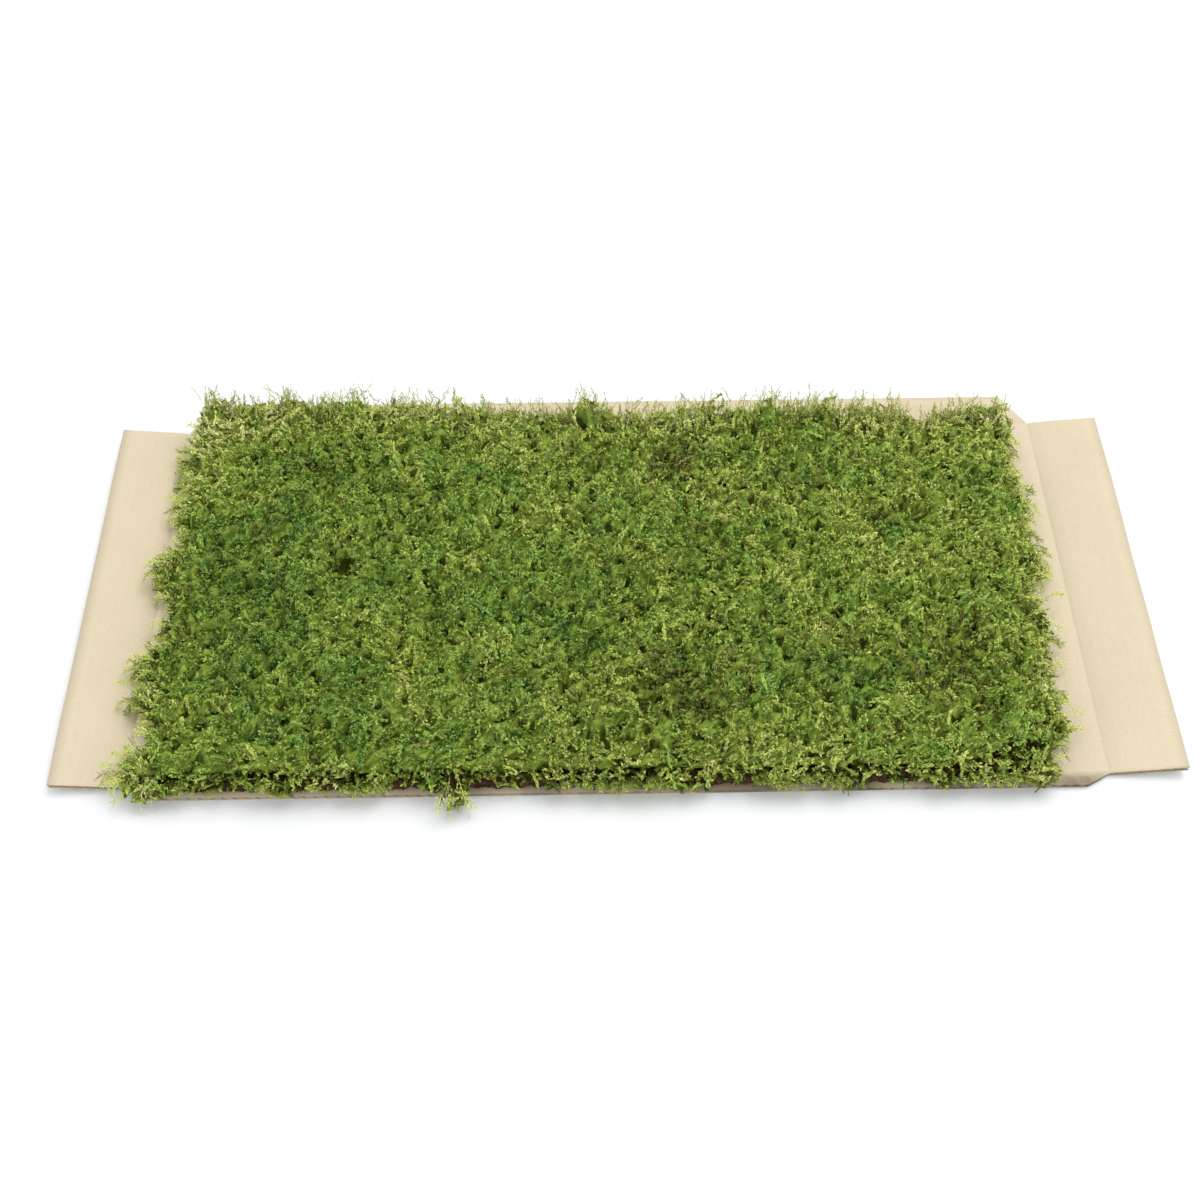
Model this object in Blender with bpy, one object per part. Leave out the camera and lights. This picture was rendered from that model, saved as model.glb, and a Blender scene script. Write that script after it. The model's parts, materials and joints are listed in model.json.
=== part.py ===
"""A cut sheet of feather moss lying on a flattened corrugated card blank.

Three pieces, each one closed solid, in metres with +Z up:

card_sheet    the blank: a base panel, with a flap folded out on each of its four sides
brown_thatch  the layer of dead stems and humus that the shoots stand in
green_moss    the living turf, whose tufts, pits and ragged rim are worked into one surface

The origin is the middle of the base panel's underside. +X runs along the sheet's length and
+Y from its front edge to its back edge.
"""

import math

import bmesh
import bpy
import numpy as np

# ---------------------------------------------------------------------------
# Driving dimensions, in metres
# ---------------------------------------------------------------------------

GAP = 0.0003  # kept between pieces that lie on each other

# Card blank
CARD_THICK = 0.004
BASE_LENGTH = 0.646
BASE_DEPTH = 0.300
LEFT_FLAP = 0.049
RIGHT_FLAP = 0.051
BACK_FLAP = 0.027
FRONT_FLAP = 0.008
FLAP_RISE = 0.006  # how far the left and right flaps spring up at their outer edge
BACK_MITRE = 0.018  # how far the back flap's ends are cut in from the panel's corners
FRONT_MITRE = 0.015
CREASE_HALF = 0.0015  # half the width of a pressed crease
CREASE_DEPTH = 0.0011

# Moss sheet
THATCH_THICK = 0.0088
THATCH_FRONT = -0.1525  # the cut edges of the thatch
THATCH_BACK_LEFT = 0.1440
THATCH_BACK_RIGHT = 0.1310
THATCH_LEFT = -0.3030
THATCH_RIGHT_FRONT = 0.2840
THATCH_RIGHT_BACK = 0.3020
THATCH_ROUGH = 0.0014  # how far the cut side wavers inwards
THATCH_RINGS = 4  # heights at which it does

TURF_TOP = 0.0355  # mean height of the tufts
# Height where the outermost shoots end: at the back they stand upright, elsewhere they splay
TURF_RIM = {"front": 0.0190, "back": 0.0310, "left": 0.0210, "right": 0.0210}
SHOOT_SPLAY = 0.0085  # how far the edge shoots stand out past the thatch
SPLAY_STEADY = 0.55  # the share of that splay which every edge shoot has
SPLAY_VARIED = 0.65  # and the most that a scallop adds to it
SCALLOP_LENGTH = 0.030
SCALLOP_MEAN = 0.50  # a scallop's size from place to place, from 0 to 1
SCALLOP_WAVE = 0.25
SCALLOP_SHAKE = 0.30
RIM_ROUGH = (-0.0020, 0.0030)  # how much lower or higher than the rim's height a shoot ends
SHOULDER = 0.0080  # distance over which the rim rises to the full height
SHOULDER_POWER = 1.3  # above 1 the rim stands steep before it rounds over
BROW_RISE = 0.0015  # how far the brow under the rim lies over the turf's underside
BROW_OUT = 0.80  # where the brow runs, from the thatch (0) to the rim (1)
BROW_OUT_PER_DROP = 11  # and how much further out it runs for each metre that it hangs
UNDER_OUT = 0.35  # where the flat underside ends, on the same scale
RIM_SAG = 0.5  # how far the rim sinks where the green hangs, for each metre that it hangs

TUFT_SPACING = 0.0230
TUFT_RISE = 0.0055
TUFT_LIFT = 0.45  # share of the rise by which tufts are lifted, so that they keep the mean
TUFT_SPREAD = 0.0034  # how much one tuft stands higher than another
TUFT_SHAKE = 0.32  # how far a tuft is moved from its honeycomb place, in spacings
TIP_ROUGH = 0.0016
SWELL_RISE = 0.0017
SWELL_LENGTH = 0.110

# Grid of the turf's top
CELLS_ALONG = 76
CELLS_ACROSS = 38
RIM_PULL = 3  # over how many cells the rim's lobes pull the grid with them
PULL_POWER = 1.5  # how fast that pull dies away
THATCH_STEP = 2  # the thatch keeps every second point of the rim

SEED = 11

# Where shoots reach past the rim: side, place along that side, reach, half-width.
# Places are x on the front and back sides, and y on the left and right sides.
LOBES = (
    ("left", 0.010, 0.018, 0.011),
    ("left", -0.066, 0.021, 0.009),
    ("left", -0.091, 0.019, 0.006),
    ("left", -0.146, 0.016, 0.010),
    ("left", 0.062, 0.006, 0.010),
    ("left", 0.118, 0.005, 0.008),
    ("right", -0.128, 0.018, 0.010),
    ("right", -0.107, 0.010, 0.006),
    ("right", -0.025, 0.011, 0.010),
    ("right", 0.008, 0.008, 0.007),
    ("right", 0.060, 0.005, 0.012),
    ("right", 0.127, 0.006, 0.010),
    ("front", -0.106, 0.017, 0.009),
    ("front", -0.303, 0.013, 0.007),
    ("front", -0.215, 0.003, 0.014),
    ("front", 0.040, 0.003, 0.012),
    ("front", 0.205, 0.003, 0.014),
    ("back", -0.300, 0.006, 0.010),
    ("back", -0.236, 0.005, 0.008),
    ("back", -0.188, 0.005, 0.009),
    ("back", 0.120, 0.005, 0.009),
    ("back", 0.293, 0.006, 0.012),
)

# Where the green hangs over the side of the thatch: side, place, drop, half-width. Two
# sprigs hang past the card, and one of them nearly to what the card lies on.
HANGS = (
    ("front", -0.303, 0.0110, 0.006),
    ("front", -0.106, 0.0137, 0.008),
    ("front", -0.280, 0.0045, 0.022),
    ("front", -0.165, 0.0040, 0.026),
    ("front", -0.020, 0.0040, 0.030),
    ("front", 0.140, 0.0040, 0.026),
    ("front", 0.262, 0.0045, 0.030),
    ("left", -0.140, 0.0040, 0.014),
    ("left", -0.070, 0.0035, 0.018),
    ("right", -0.128, 0.0040, 0.016),
)

# Single sprouts that stand above the turf: x, y, height over the mean of the tufts
SPROUTS = (
    (-0.300, 0.138, 0.012),
    (-0.232, 0.138, 0.010),
    (-0.190, 0.138, 0.014),
    (-0.182, 0.130, 0.009),
    (-0.017, 0.133, 0.015),
    (0.098, 0.130, 0.011),
    (0.119, 0.130, 0.012),
    (0.156, 0.129, 0.014),
    (0.262, 0.126, 0.012),
    (0.289, 0.125, 0.013),
)

# Hollows between the tufts: x, y, depth, half-width
PITS = (
    (-0.184, 0.010, 0.013, 0.009),
    (-0.122, -0.031, 0.009, 0.012),
    (-0.018, -0.051, 0.008, 0.009),
    (0.216, 0.049, 0.008, 0.011),
    (0.048, 0.094, 0.006, 0.014),
    (0.062, 0.030, 0.006, 0.012),
    (0.165, -0.062, 0.006, 0.013),
    (0.236, -0.072, 0.006, 0.016),
    (0.036, -0.092, 0.006, 0.018),
    (0.128, 0.074, 0.006, 0.012),
)

# Colour, roughness
CARD_FINISH = ((0.74, 0.64, 0.47, 1.0), 0.9)
THATCH_FINISH = ((0.09, 0.045, 0.022, 1.0), 0.95)
MOSS_FINISH = ((0.13, 0.22, 0.035, 1.0), 0.85)

# Worked out from the above
CARD_TOP = CARD_THICK
THATCH_BASE = CARD_TOP + GAP
THATCH_TOP = THATCH_BASE + THATCH_THICK
TURF_BASE = THATCH_TOP + GAP
SIDES = {"front": (0.0, -1.0), "back": (0.0, 1.0), "left": (-1.0, 0.0), "right": (1.0, 0.0)}


# ---------------------------------------------------------------------------
# Helpers
# ---------------------------------------------------------------------------


def finish(name, colour, roughness):
    """A plain material with the piece's own colour and roughness."""
    material = bpy.data.materials.new(name)
    material.use_nodes = True
    shader = material.node_tree.nodes["Principled BSDF"]
    shader.inputs["Base Color"].default_value = colour
    shader.inputs["Roughness"].default_value = roughness
    shader.inputs["Metallic"].default_value = 0.0
    return material


def add_piece(name, bm, material):
    """Puts a finished bmesh into the scene as one named object."""
    bmesh.ops.triangulate(bm, faces=bm.faces[:], quad_method="SHORT_EDGE")
    bmesh.ops.recalc_face_normals(bm, faces=bm.faces[:])
    mesh = bpy.data.meshes.new(name)
    bm.to_mesh(mesh)
    bm.free()
    mesh.materials.append(material)
    piece = bpy.data.objects.new(name, mesh)
    bpy.context.scene.collection.objects.link(piece)
    return piece


def bump(distance, half_width):
    """A smooth bell of height 1 that has died away at about twice its half-width."""
    return np.exp(-((distance / half_width) ** 2))


def smooth_noise(points, wavelength, rng, waves=14):
    """A sum of sine waves in random directions, of about unit height, at the given points."""
    angle = rng.uniform(0, 2 * math.pi, waves)
    length = wavelength * rng.uniform(0.7, 1.5, waves)
    phase = rng.uniform(0, 2 * math.pi, waves)
    wave = 2 * math.pi * np.stack([np.cos(angle), np.sin(angle)]) / length
    return np.sin(points @ wave + phase).sum(1) / math.sqrt(waves / 2)


# ---------------------------------------------------------------------------
# The rim: one walk round the sheet, shared by the thatch and the turf
# ---------------------------------------------------------------------------


def rim_walk():
    """The grid indices (i, j) of the boundary, anticlockwise from the front-left corner."""
    walk = [(i, 0) for i in range(CELLS_ALONG)]
    walk += [(CELLS_ALONG, j) for j in range(CELLS_ACROSS)]
    walk += [(i, CELLS_ACROSS) for i in range(CELLS_ALONG, 0, -1)]
    walk += [(0, j) for j in range(CELLS_ACROSS, 0, -1)]
    return walk


def on_thatch(u, v):
    """The point of the thatch's four-sided outline at u along (0 to 1) and v across."""
    right = THATCH_RIGHT_FRONT + (THATCH_RIGHT_BACK - THATCH_RIGHT_FRONT) * v
    back = THATCH_BACK_LEFT + (THATCH_BACK_RIGHT - THATCH_BACK_LEFT) * u
    x = THATCH_LEFT + (right - THATCH_LEFT) * u
    y = THATCH_FRONT + (back - THATCH_FRONT) * v
    return np.stack([x, y], -1)


def side_amount(table, side, place):
    """The largest of a table's bells at each place along one side."""
    amount = np.zeros(len(place))
    for name, centre, size, half_width in table:
        if name == side:
            amount = np.maximum(amount, size * bump(place - centre, half_width))
    return amount


def rim_amounts(table, walk, points):
    """The table's value at each rim point, and the outward direction there."""
    amounts = np.zeros(len(walk))
    outward = np.zeros((len(walk), 2))
    index = np.array(walk)
    held = {
        "front": index[:, 1] == 0,
        "back": index[:, 1] == CELLS_ACROSS,
        "left": index[:, 0] == 0,
        "right": index[:, 0] == CELLS_ALONG,
    }
    for side, direction in SIDES.items():
        on_side = held[side]
        along = points[on_side, 1] if side in ("left", "right") else points[on_side, 0]
        amounts[on_side] = np.maximum(amounts[on_side], side_amount(table, side, along))
        outward[on_side] += direction
    return amounts, outward / np.linalg.norm(outward, axis=1)[:, None]


# ---------------------------------------------------------------------------
# The pieces
# ---------------------------------------------------------------------------


def make_card():
    """The blank: a plan of panels and creases, thick all over, with both end flaps sprung up."""
    half_length = BASE_LENGTH / 2
    half_depth = BASE_DEPTH / 2
    x_lines = [
        -half_length - LEFT_FLAP,
        -half_length - CREASE_HALF,
        -half_length,
        -half_length + CREASE_HALF,
        half_length - CREASE_HALF,
        half_length,
        half_length + CREASE_HALF,
        half_length + RIGHT_FLAP,
    ]
    y_lines = [
        -half_depth - FRONT_FLAP,
        -half_depth - CREASE_HALF,
        -half_depth,
        -half_depth + CREASE_HALF,
        half_depth - CREASE_HALF,
        half_depth,
        half_depth + CREASE_HALF,
        half_depth + BACK_FLAP,
    ]
    last = len(x_lines) - 1

    def plan_point(i, j):
        """Moves the front and back flaps' ends in, which gives them their mitred corners."""
        x, y = x_lines[i], y_lines[j]
        reach = abs(y) - half_depth
        if reach > 0:
            depth, cut = (BACK_FLAP, BACK_MITRE) if y > 0 else (FRONT_FLAP, FRONT_MITRE)
            x -= math.copysign(cut * reach / depth, x)
        return x, y

    def heights(i, j):
        """The card's top and underside: flat, pressed in on a crease, and up along an end flap."""
        past = abs(x_lines[i]) - half_length
        flap = LEFT_FLAP if x_lines[i] < 0 else RIGHT_FLAP
        rise = FLAP_RISE * max(past, 0.0) / flap
        creased = (i in (2, last - 2) and 2 <= j <= last - 2) or (
            j in (2, last - 2) and 2 <= i <= last - 2
        )
        return CARD_THICK + rise - CREASE_DEPTH * creased, rise

    bm = bmesh.new()
    corners = {}

    def corner(i, j):
        if (i, j) not in corners:
            x, y = plan_point(i, j)
            top, bottom = heights(i, j)
            corners[i, j] = (bm.verts.new((x, y, top)), bm.verts.new((x, y, bottom)))
        return corners[i, j]

    def is_card(i, j):
        """Whether the plan has card in this cell: the flaps leave the four corners open."""
        in_length = 2 <= i < last - 2
        in_depth = 2 <= j < last - 2
        return in_length or in_depth

    for i in range(last):
        for j in range(last):
            if not is_card(i, j):
                continue
            ring = [corner(i, j), corner(i + 1, j), corner(i + 1, j + 1), corner(i, j + 1)]
            bm.faces.new([pair[0] for pair in ring])
            bm.faces.new([pair[1] for pair in reversed(ring)])
            for (di, dj), a, b in (
                ((0, -1), ring[0], ring[1]),
                ((1, 0), ring[1], ring[2]),
                ((0, 1), ring[2], ring[3]),
                ((-1, 0), ring[3], ring[0]),
            ):
                ni, nj = i + di, j + dj
                inside = 0 <= ni < last and 0 <= nj < last and is_card(ni, nj)
                if not inside:
                    bm.faces.new((a[0], a[1], b[1], b[0]))
    return add_piece("card_sheet", bm, finish("card", *CARD_FINISH))


def make_thatch():
    """The brown layer: a flat slab whose cut side wavers from ring to ring."""
    rng = np.random.default_rng(SEED)
    walk = rim_walk()
    index = np.array(walk, float) / (CELLS_ALONG, CELLS_ACROSS)
    outline = on_thatch(index[:, 0], index[:, 1])
    outward = rim_amounts((), walk, outline)[1]
    keep = [
        k
        for k, (i, j) in enumerate(walk)
        if (j in (0, CELLS_ACROSS) and i % THATCH_STEP == 0)
        or (i in (0, CELLS_ALONG) and j % THATCH_STEP == 0)
    ]
    outline, outward = outline[keep], outward[keep]
    bm = bmesh.new()
    rings = []
    for height in np.linspace(THATCH_BASE, THATCH_TOP, THATCH_RINGS):
        inset = THATCH_ROUGH * rng.uniform(0, 1, len(outline))
        ring = outline - outward * inset[:, None]
        rings.append([bm.verts.new((x, y, height)) for x, y in ring])
    count = len(outline)
    bm.faces.new(list(reversed(rings[0])))
    bm.faces.new(rings[-1])
    for lower, upper in zip(rings, rings[1:]):
        for k in range(count):
            following = (k + 1) % count
            bm.faces.new((lower[k], lower[following], upper[following], upper[k]))
    return add_piece("brown_thatch", bm, finish("thatch", *THATCH_FINISH))


def turf_plan(rng):
    """The turf's grid seen from above, with its rim.

    The rim follows the thatch's outline, stands out from it by the splay of the edge shoots,
    and has the lobes and a small random scallop. The inside is an even grid, of which the
    outer cells are pulled along with the rim.
    """
    walk = rim_walk()
    unit = np.array(walk, float) / (CELLS_ALONG, CELLS_ACROSS)
    inner = on_thatch(unit[:, 0], unit[:, 1])
    lobes, outward = rim_amounts(LOBES, walk, inner)
    scallop = SCALLOP_MEAN + SCALLOP_WAVE * smooth_noise(inner, SCALLOP_LENGTH, rng)
    scallop = (scallop + rng.uniform(-SCALLOP_SHAKE, SCALLOP_SHAKE, len(walk))).clip(0, 1)
    splay = SHOOT_SPLAY * (SPLAY_STEADY + SPLAY_VARIED * scallop)
    rim = inner + outward * (splay + lobes)[:, None]

    i, j = np.meshgrid(range(CELLS_ALONG + 1), range(CELLS_ACROSS + 1), indexing="ij")
    u, v = i / CELLS_ALONG, j / CELLS_ACROSS
    plan = on_thatch(u, v)
    offset = np.zeros_like(plan)
    offset[tuple(np.array(walk).T)] = rim - inner
    inside = (i > 0) & (i < CELLS_ALONG) & (j > 0) & (j < CELLS_ACROSS)
    for away, edge in (
        (i, offset[:1]),
        (CELLS_ALONG - i, offset[-1:]),
        (j, offset[:, :1]),
        (CELLS_ACROSS - j, offset[:, -1:]),
    ):
        weight = np.clip(1 - away / RIM_PULL, 0, 1) ** PULL_POWER
        plan = plan + (weight * inside)[..., None] * edge
    plan[tuple(np.array(walk).T)] = rim
    return walk, inner, rim, plan


def rim_grids():
    """At each grid point, how far the rim is and how high the nearest rim stands.

    The height is a mean of the four sides' heights in which a side weighs less the further
    away it is, so that the corners blend.
    """
    i, j = np.meshgrid(range(CELLS_ALONG + 1), range(CELLS_ACROSS + 1), indexing="ij")
    away = {"left": i, "right": CELLS_ALONG - i, "front": j, "back": CELLS_ACROSS - j}
    cell = (THATCH_BACK_LEFT - THATCH_FRONT) / CELLS_ACROSS
    weights = {side: np.exp(-1.0 * cells) for side, cells in away.items()}
    height = sum(weights[side] * TURF_RIM[side] for side in away) / sum(weights.values())
    return cell * np.minimum.reduce(list(away.values())), height


def tuft_height(points, rng):
    """Rounded tufts on a shaken honeycomb, each with its own height.

    A point takes the height of its nearest tuft, less the square of its distance from it, so
    neighbouring tufts meet in a groove.
    """
    low = points.min(0) - TUFT_SPACING
    high = points.max(0) + TUFT_SPACING
    rows = np.arange(low[1], high[1], TUFT_SPACING * math.sqrt(0.75))
    columns = np.arange(low[0], high[0], TUFT_SPACING)
    x, row = np.meshgrid(columns, np.arange(len(rows)))
    centres = np.stack([x + TUFT_SPACING / 2 * (row % 2), rows[row]], -1).reshape(-1, 2)
    centres += rng.uniform(-TUFT_SHAKE, TUFT_SHAKE, centres.shape) * TUFT_SPACING
    level = rng.uniform(-1, 1, len(centres)) * TUFT_SPREAD
    away = np.linalg.norm(points[:, None] - centres[None], axis=2)
    dome = level - TUFT_RISE * (away / (0.5 * TUFT_SPACING)) ** 2
    return dome.max(1) + TUFT_LIFT * TUFT_RISE


def top_heights(plan, rng):
    """The height of the turf's top: shoulder, swells, tufts, pits and sprouts."""
    points = plan.reshape(-1, 2)
    edge, rim_height = (grid.reshape(-1) for grid in rim_grids())
    shoulder = 1 - np.exp(-((edge / SHOULDER) ** SHOULDER_POWER))
    height = SWELL_RISE * smooth_noise(points, SWELL_LENGTH, rng)
    height += tuft_height(points, rng)
    height += rng.uniform(-TIP_ROUGH, TIP_ROUGH, len(points))
    for x, y, depth, half_width in PITS:
        height -= depth * bump(np.hypot(points[:, 0] - x, points[:, 1] - y), half_width)
    top = rim_height + (TURF_TOP - rim_height + height) * shoulder
    for x, y, extra in SPROUTS:
        away = np.hypot(points[:, 0] - x, points[:, 1] - y) + 1.0 * (edge == 0)
        tip, beside = np.argsort(away)[:2]
        top[tip] = TURF_TOP + extra
        top[beside] = 0.5 * (top[beside] + top[tip])
    return top.reshape(plan.shape[:2])


def make_turf():
    """The green turf: the lumpy top, a ragged rim, the brow under it, and a flat underside."""
    rng = np.random.default_rng(SEED + 1)
    walk, inner, rim, plan = turf_plan(rng)
    top = top_heights(plan, rng)
    rim_index = tuple(np.array(walk).T)
    hang = rim_amounts(HANGS, walk, inner)[0]
    top[rim_index] += rng.uniform(*RIM_ROUGH, len(walk)) - RIM_SAG * hang

    bm = bmesh.new()
    grid = [
        [bm.verts.new((*plan[i, j], top[i, j])) for j in range(CELLS_ACROSS + 1)]
        for i in range(CELLS_ALONG + 1)
    ]
    for i in range(CELLS_ALONG):
        for j in range(CELLS_ACROSS):
            bm.faces.new((grid[i][j], grid[i + 1][j], grid[i + 1][j + 1], grid[i][j + 1]))

    # Rings down from the rim: the brow under it, and the edge of the flat underside.
    splay = rim - inner
    brow = inner + (BROW_OUT + BROW_OUT_PER_DROP * hang)[:, None] * splay
    under = inner + UNDER_OUT * splay
    rings = [[grid[i][j] for i, j in walk]]
    for outline, height in (
        (brow, TURF_BASE + BROW_RISE - hang),
        (under, np.full(len(walk), TURF_BASE)),
    ):
        rings.append([bm.verts.new((x, y, z)) for (x, y), z in zip(outline, height)])
    count = len(walk)
    for upper, lower in zip(rings, rings[1:]):
        for k in range(count):
            following = (k + 1) % count
            bm.faces.new((upper[k], lower[k], lower[following], upper[following]))
    bm.faces.new(list(reversed(rings[-1])))
    return add_piece("green_moss", bm, finish("moss", *MOSS_FINISH))


def main():
    for old in list(bpy.data.objects):
        bpy.data.objects.remove(old, do_unlink=True)
    for piece in (make_card(), make_thatch(), make_turf()):
        size = piece.dimensions
        print(
            f"{piece.name}: {len(piece.data.polygons)} triangles, "
            f"{size.x * 1000:.1f} x {size.y * 1000:.1f} x {size.z * 1000:.1f} mm"
        )


main()
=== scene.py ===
# %% [markdown]
# # A sheet of feather moss on a flattened card blank
#
# The real thing is a mat of living moss, cut to a rectangle and laid on an opened-out cardboard
# blank. From a step away it is a green cushion with a ragged rim. Seen close it is thousands of
# shoots, whose stems and side branches are clad all round in leaves of about two millimetres.
#
# Everything below is worked out with numpy arrays: a leaf is one triangle, a shoot is a few
# dozen leaves, and the sheet is some seventeen thousand shoots, planted so that their tips
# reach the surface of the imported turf.

# %% The frame
import json
import math
from typing import NamedTuple

import bpy
import numpy as np
from mathutils.bvhtree import BVHTree
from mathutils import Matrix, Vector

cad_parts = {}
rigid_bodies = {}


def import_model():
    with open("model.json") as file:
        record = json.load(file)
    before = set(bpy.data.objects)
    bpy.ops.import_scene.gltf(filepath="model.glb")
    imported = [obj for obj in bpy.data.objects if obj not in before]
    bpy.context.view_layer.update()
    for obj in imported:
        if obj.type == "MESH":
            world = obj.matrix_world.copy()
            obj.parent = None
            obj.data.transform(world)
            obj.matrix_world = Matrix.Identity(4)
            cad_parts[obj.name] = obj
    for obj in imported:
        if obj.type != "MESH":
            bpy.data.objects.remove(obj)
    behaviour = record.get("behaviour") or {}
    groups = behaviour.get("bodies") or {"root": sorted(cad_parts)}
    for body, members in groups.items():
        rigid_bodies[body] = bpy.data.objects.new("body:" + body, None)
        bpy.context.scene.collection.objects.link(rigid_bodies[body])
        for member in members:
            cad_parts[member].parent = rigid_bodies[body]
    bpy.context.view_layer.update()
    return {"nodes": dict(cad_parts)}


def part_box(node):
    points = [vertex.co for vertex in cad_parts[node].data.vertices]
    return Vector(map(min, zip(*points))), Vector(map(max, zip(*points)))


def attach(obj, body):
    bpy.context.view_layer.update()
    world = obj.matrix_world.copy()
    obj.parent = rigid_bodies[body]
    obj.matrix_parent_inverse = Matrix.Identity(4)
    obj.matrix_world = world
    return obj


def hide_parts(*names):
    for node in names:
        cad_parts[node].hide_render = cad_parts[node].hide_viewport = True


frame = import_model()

# %% [markdown]
# ## The camera
#
# The photograph looks down on the sheet from in front. Its place was worked out from the card's
# creases: a picture of a rectangle fixes where the camera stood and how wide its lens was. It
# comes first, so that every later step can be looked at through it.

# %% Camera
IMAGE_PIXELS = 1200
FOCAL_PIXELS = 1420
SENSOR_MM = 36
CAMERA_PLACE = (-0.019, -0.562, 0.847)
CAMERA_PITCH = math.radians(56.7)  # below the horizon
CAMERA_HEADING = math.radians(0.95)  # to the right of +Y


def new_object(name, data):
    """An object of a camera, a mesh or a light, put in the scene."""
    made = bpy.data.objects.new(name, data)
    bpy.context.scene.collection.objects.link(made)
    return made


def add_camera():
    """Places the camera: turned down from level by the pitch, then right by the heading."""
    data = bpy.data.cameras.new("camera")
    data.sensor_width = SENSOR_MM
    data.lens = SENSOR_MM * FOCAL_PIXELS / IMAGE_PIXELS
    data.clip_start = 0.01
    camera = new_object("camera", data)
    camera.location = CAMERA_PLACE
    camera.rotation_euler = (math.pi / 2 - CAMERA_PITCH, 0.0, -CAMERA_HEADING)
    bpy.context.scene.camera = camera
    print("lens, mm:", round(data.lens, 1))


add_camera()

# %% [markdown]
# ## Helpers for meshes
#
# Every piece below ends as arrays of points and triangles. One helper puts them into a mesh with
# foreach_set, which takes whole arrays at once, makes the piece ride on the body and hides the node
# it replaces. Others number the faces of a grid, of rings and of a closed sheet. The last are a
# soft noise, for what varies from place to place without a step, and two for ways.

# %% Arrays into a piece
BODY = "root"
MAP_NAME = "OFBake"  # a piece's own map: across it a hue scale, up it a scale of light


def add_piece(name, node, material, points, triangles, coords=None, normals=None):
    """Makes a mesh object in place of a node, from points (n, 3) and triangles (m, 3).

    coords (m, 3, 2), if given, are the map's coordinates at each triangle's corners, and
    normals (m, 3, 3) are the directions that those corners are shaded by.
    """
    mesh = bpy.data.meshes.new(name)
    mesh.vertices.add(len(points))
    mesh.vertices.foreach_set("co", points.astype(np.float32).ravel())
    mesh.loops.add(triangles.size)
    mesh.loops.foreach_set("vertex_index", triangles.astype(np.int32).ravel())
    mesh.polygons.add(len(triangles))
    mesh.polygons.foreach_set("loop_start", np.arange(0, triangles.size, 3, dtype=np.int32))
    if coords is not None:
        layer = mesh.uv_layers.new(name=MAP_NAME)
        layer.uv.foreach_set("vector", coords.astype(np.float32).ravel())
    mesh.update(calc_edges=True)
    mesh.validate()
    if normals is not None:
        mesh.normals_split_custom_set(normals.reshape(-1, 3))
    mesh.materials.append(material)
    piece = new_object(name, mesh)
    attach(piece, BODY)
    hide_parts(node)
    print(f"{name}: {len(triangles)} triangles")


def joined(parts):
    """From parts that each hold several arrays: all the first arrays as one, and so on."""
    return [np.concatenate(arrays) for arrays in zip(*parts)]


def at_height(plan, z):
    """Points (..., 3) from places in plan (..., 2) and their heights (...)."""
    return np.concatenate([plan, z[..., None]], -1)


def as_triangles(quads):
    """Each quad (a, b, c, d) as the triangles (a, b, c) and (a, c, d)."""
    return np.concatenate([quads[:, [0, 1, 2]], quads[:, [0, 2, 3]]])


def grid_numbers(n, m):
    """The numbers (n, m) of a grid's points, and those of all its cells' corners a, b, c, d."""
    number = np.arange(n * m).reshape(n, m)
    return number, (number[:-1, :-1], number[1:, :-1], number[1:, 1:], number[:-1, 1:])


def band(lower, upper):
    """Quads between rings of numbers: from each ring of lower to the same ring of upper."""
    corners = (lower, np.roll(lower, -1, 1), np.roll(upper, -1, 1), upper)
    return np.stack(corners, -1).reshape(-1, 4)


def fan(ring, pole):
    """Triangles that face down, from a ring of numbers that runs left round to a pole."""
    return np.stack([np.roll(ring, -1), ring, np.full(len(ring), pole)], -1)


def closed_sheet(plan, top, bottom, cells):
    """A closed body over a grid: plan (n, m, 2), with its top and bottom heights (n, m).

    cells (n-1, m-1) says which cells have body. A wall stands on every cell edge that has body
    on one side only. Returns points and triangles.
    """
    _, (a, b, c, d) = grid_numbers(*top.shape)
    under = top.size
    quads = [np.stack([a, b, c, d], -1)[cells], np.stack([a, d, c, b], -1)[cells] + under]
    padded = np.pad(cells, 1)
    beyond = (padded[1:-1, :-2], padded[2:, 1:-1], padded[1:-1, 2:], padded[:-2, 1:-1])
    for start, end, body in zip((a, b, c, d), (b, c, d, a), beyond):
        edge = cells & ~body
        s, e = start[edge], end[edge]
        quads.append(np.stack([s, s + under, e + under, e], -1))
    used, renumbered = np.unique(np.concatenate(quads), return_inverse=True)
    points = np.concatenate([at_height(plan, z).reshape(-1, 3) for z in (top, bottom)])
    return points[used], as_triangles(renumbered.reshape(-1, 4))


WAVES = 16  # in a soft noise


def soft_noise(x, y, wavelength, rng):
    """A sum of sine waves in random directions, of about unit height, at each place."""
    angle = rng.uniform(0, 2 * math.pi, WAVES)
    length = wavelength * rng.uniform(0.65, 1.6, WAVES)
    phase = rng.uniform(0, 2 * math.pi, WAVES)
    total = np.zeros(np.broadcast(x, y).shape)
    for a, w, p in zip(angle, length, phase):
        total += np.sin((x * math.cos(a) + y * math.sin(a)) * 2 * math.pi / w + p)
    return total / math.sqrt(WAVES / 2)


def unit(vectors):
    """The vectors at length 1."""
    return vectors / np.maximum(np.linalg.norm(vectors, axis=-1, keepdims=True), 1e-12)


def aside(ways):
    """The level ways a quarter turn to the left of level ways (..., 2)."""
    return np.stack([-ways[..., 1], ways[..., 0]], -1)


# %% [markdown]
# ## Helpers for materials
#
# The materials are node trees on a Principled shader. Most do one thing: they read a number,
# from the piece's own map or from a noise on Object coordinates, and look its colour up on a
# ramp. Roughness and specular level are plain numbers set on the shader.


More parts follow.
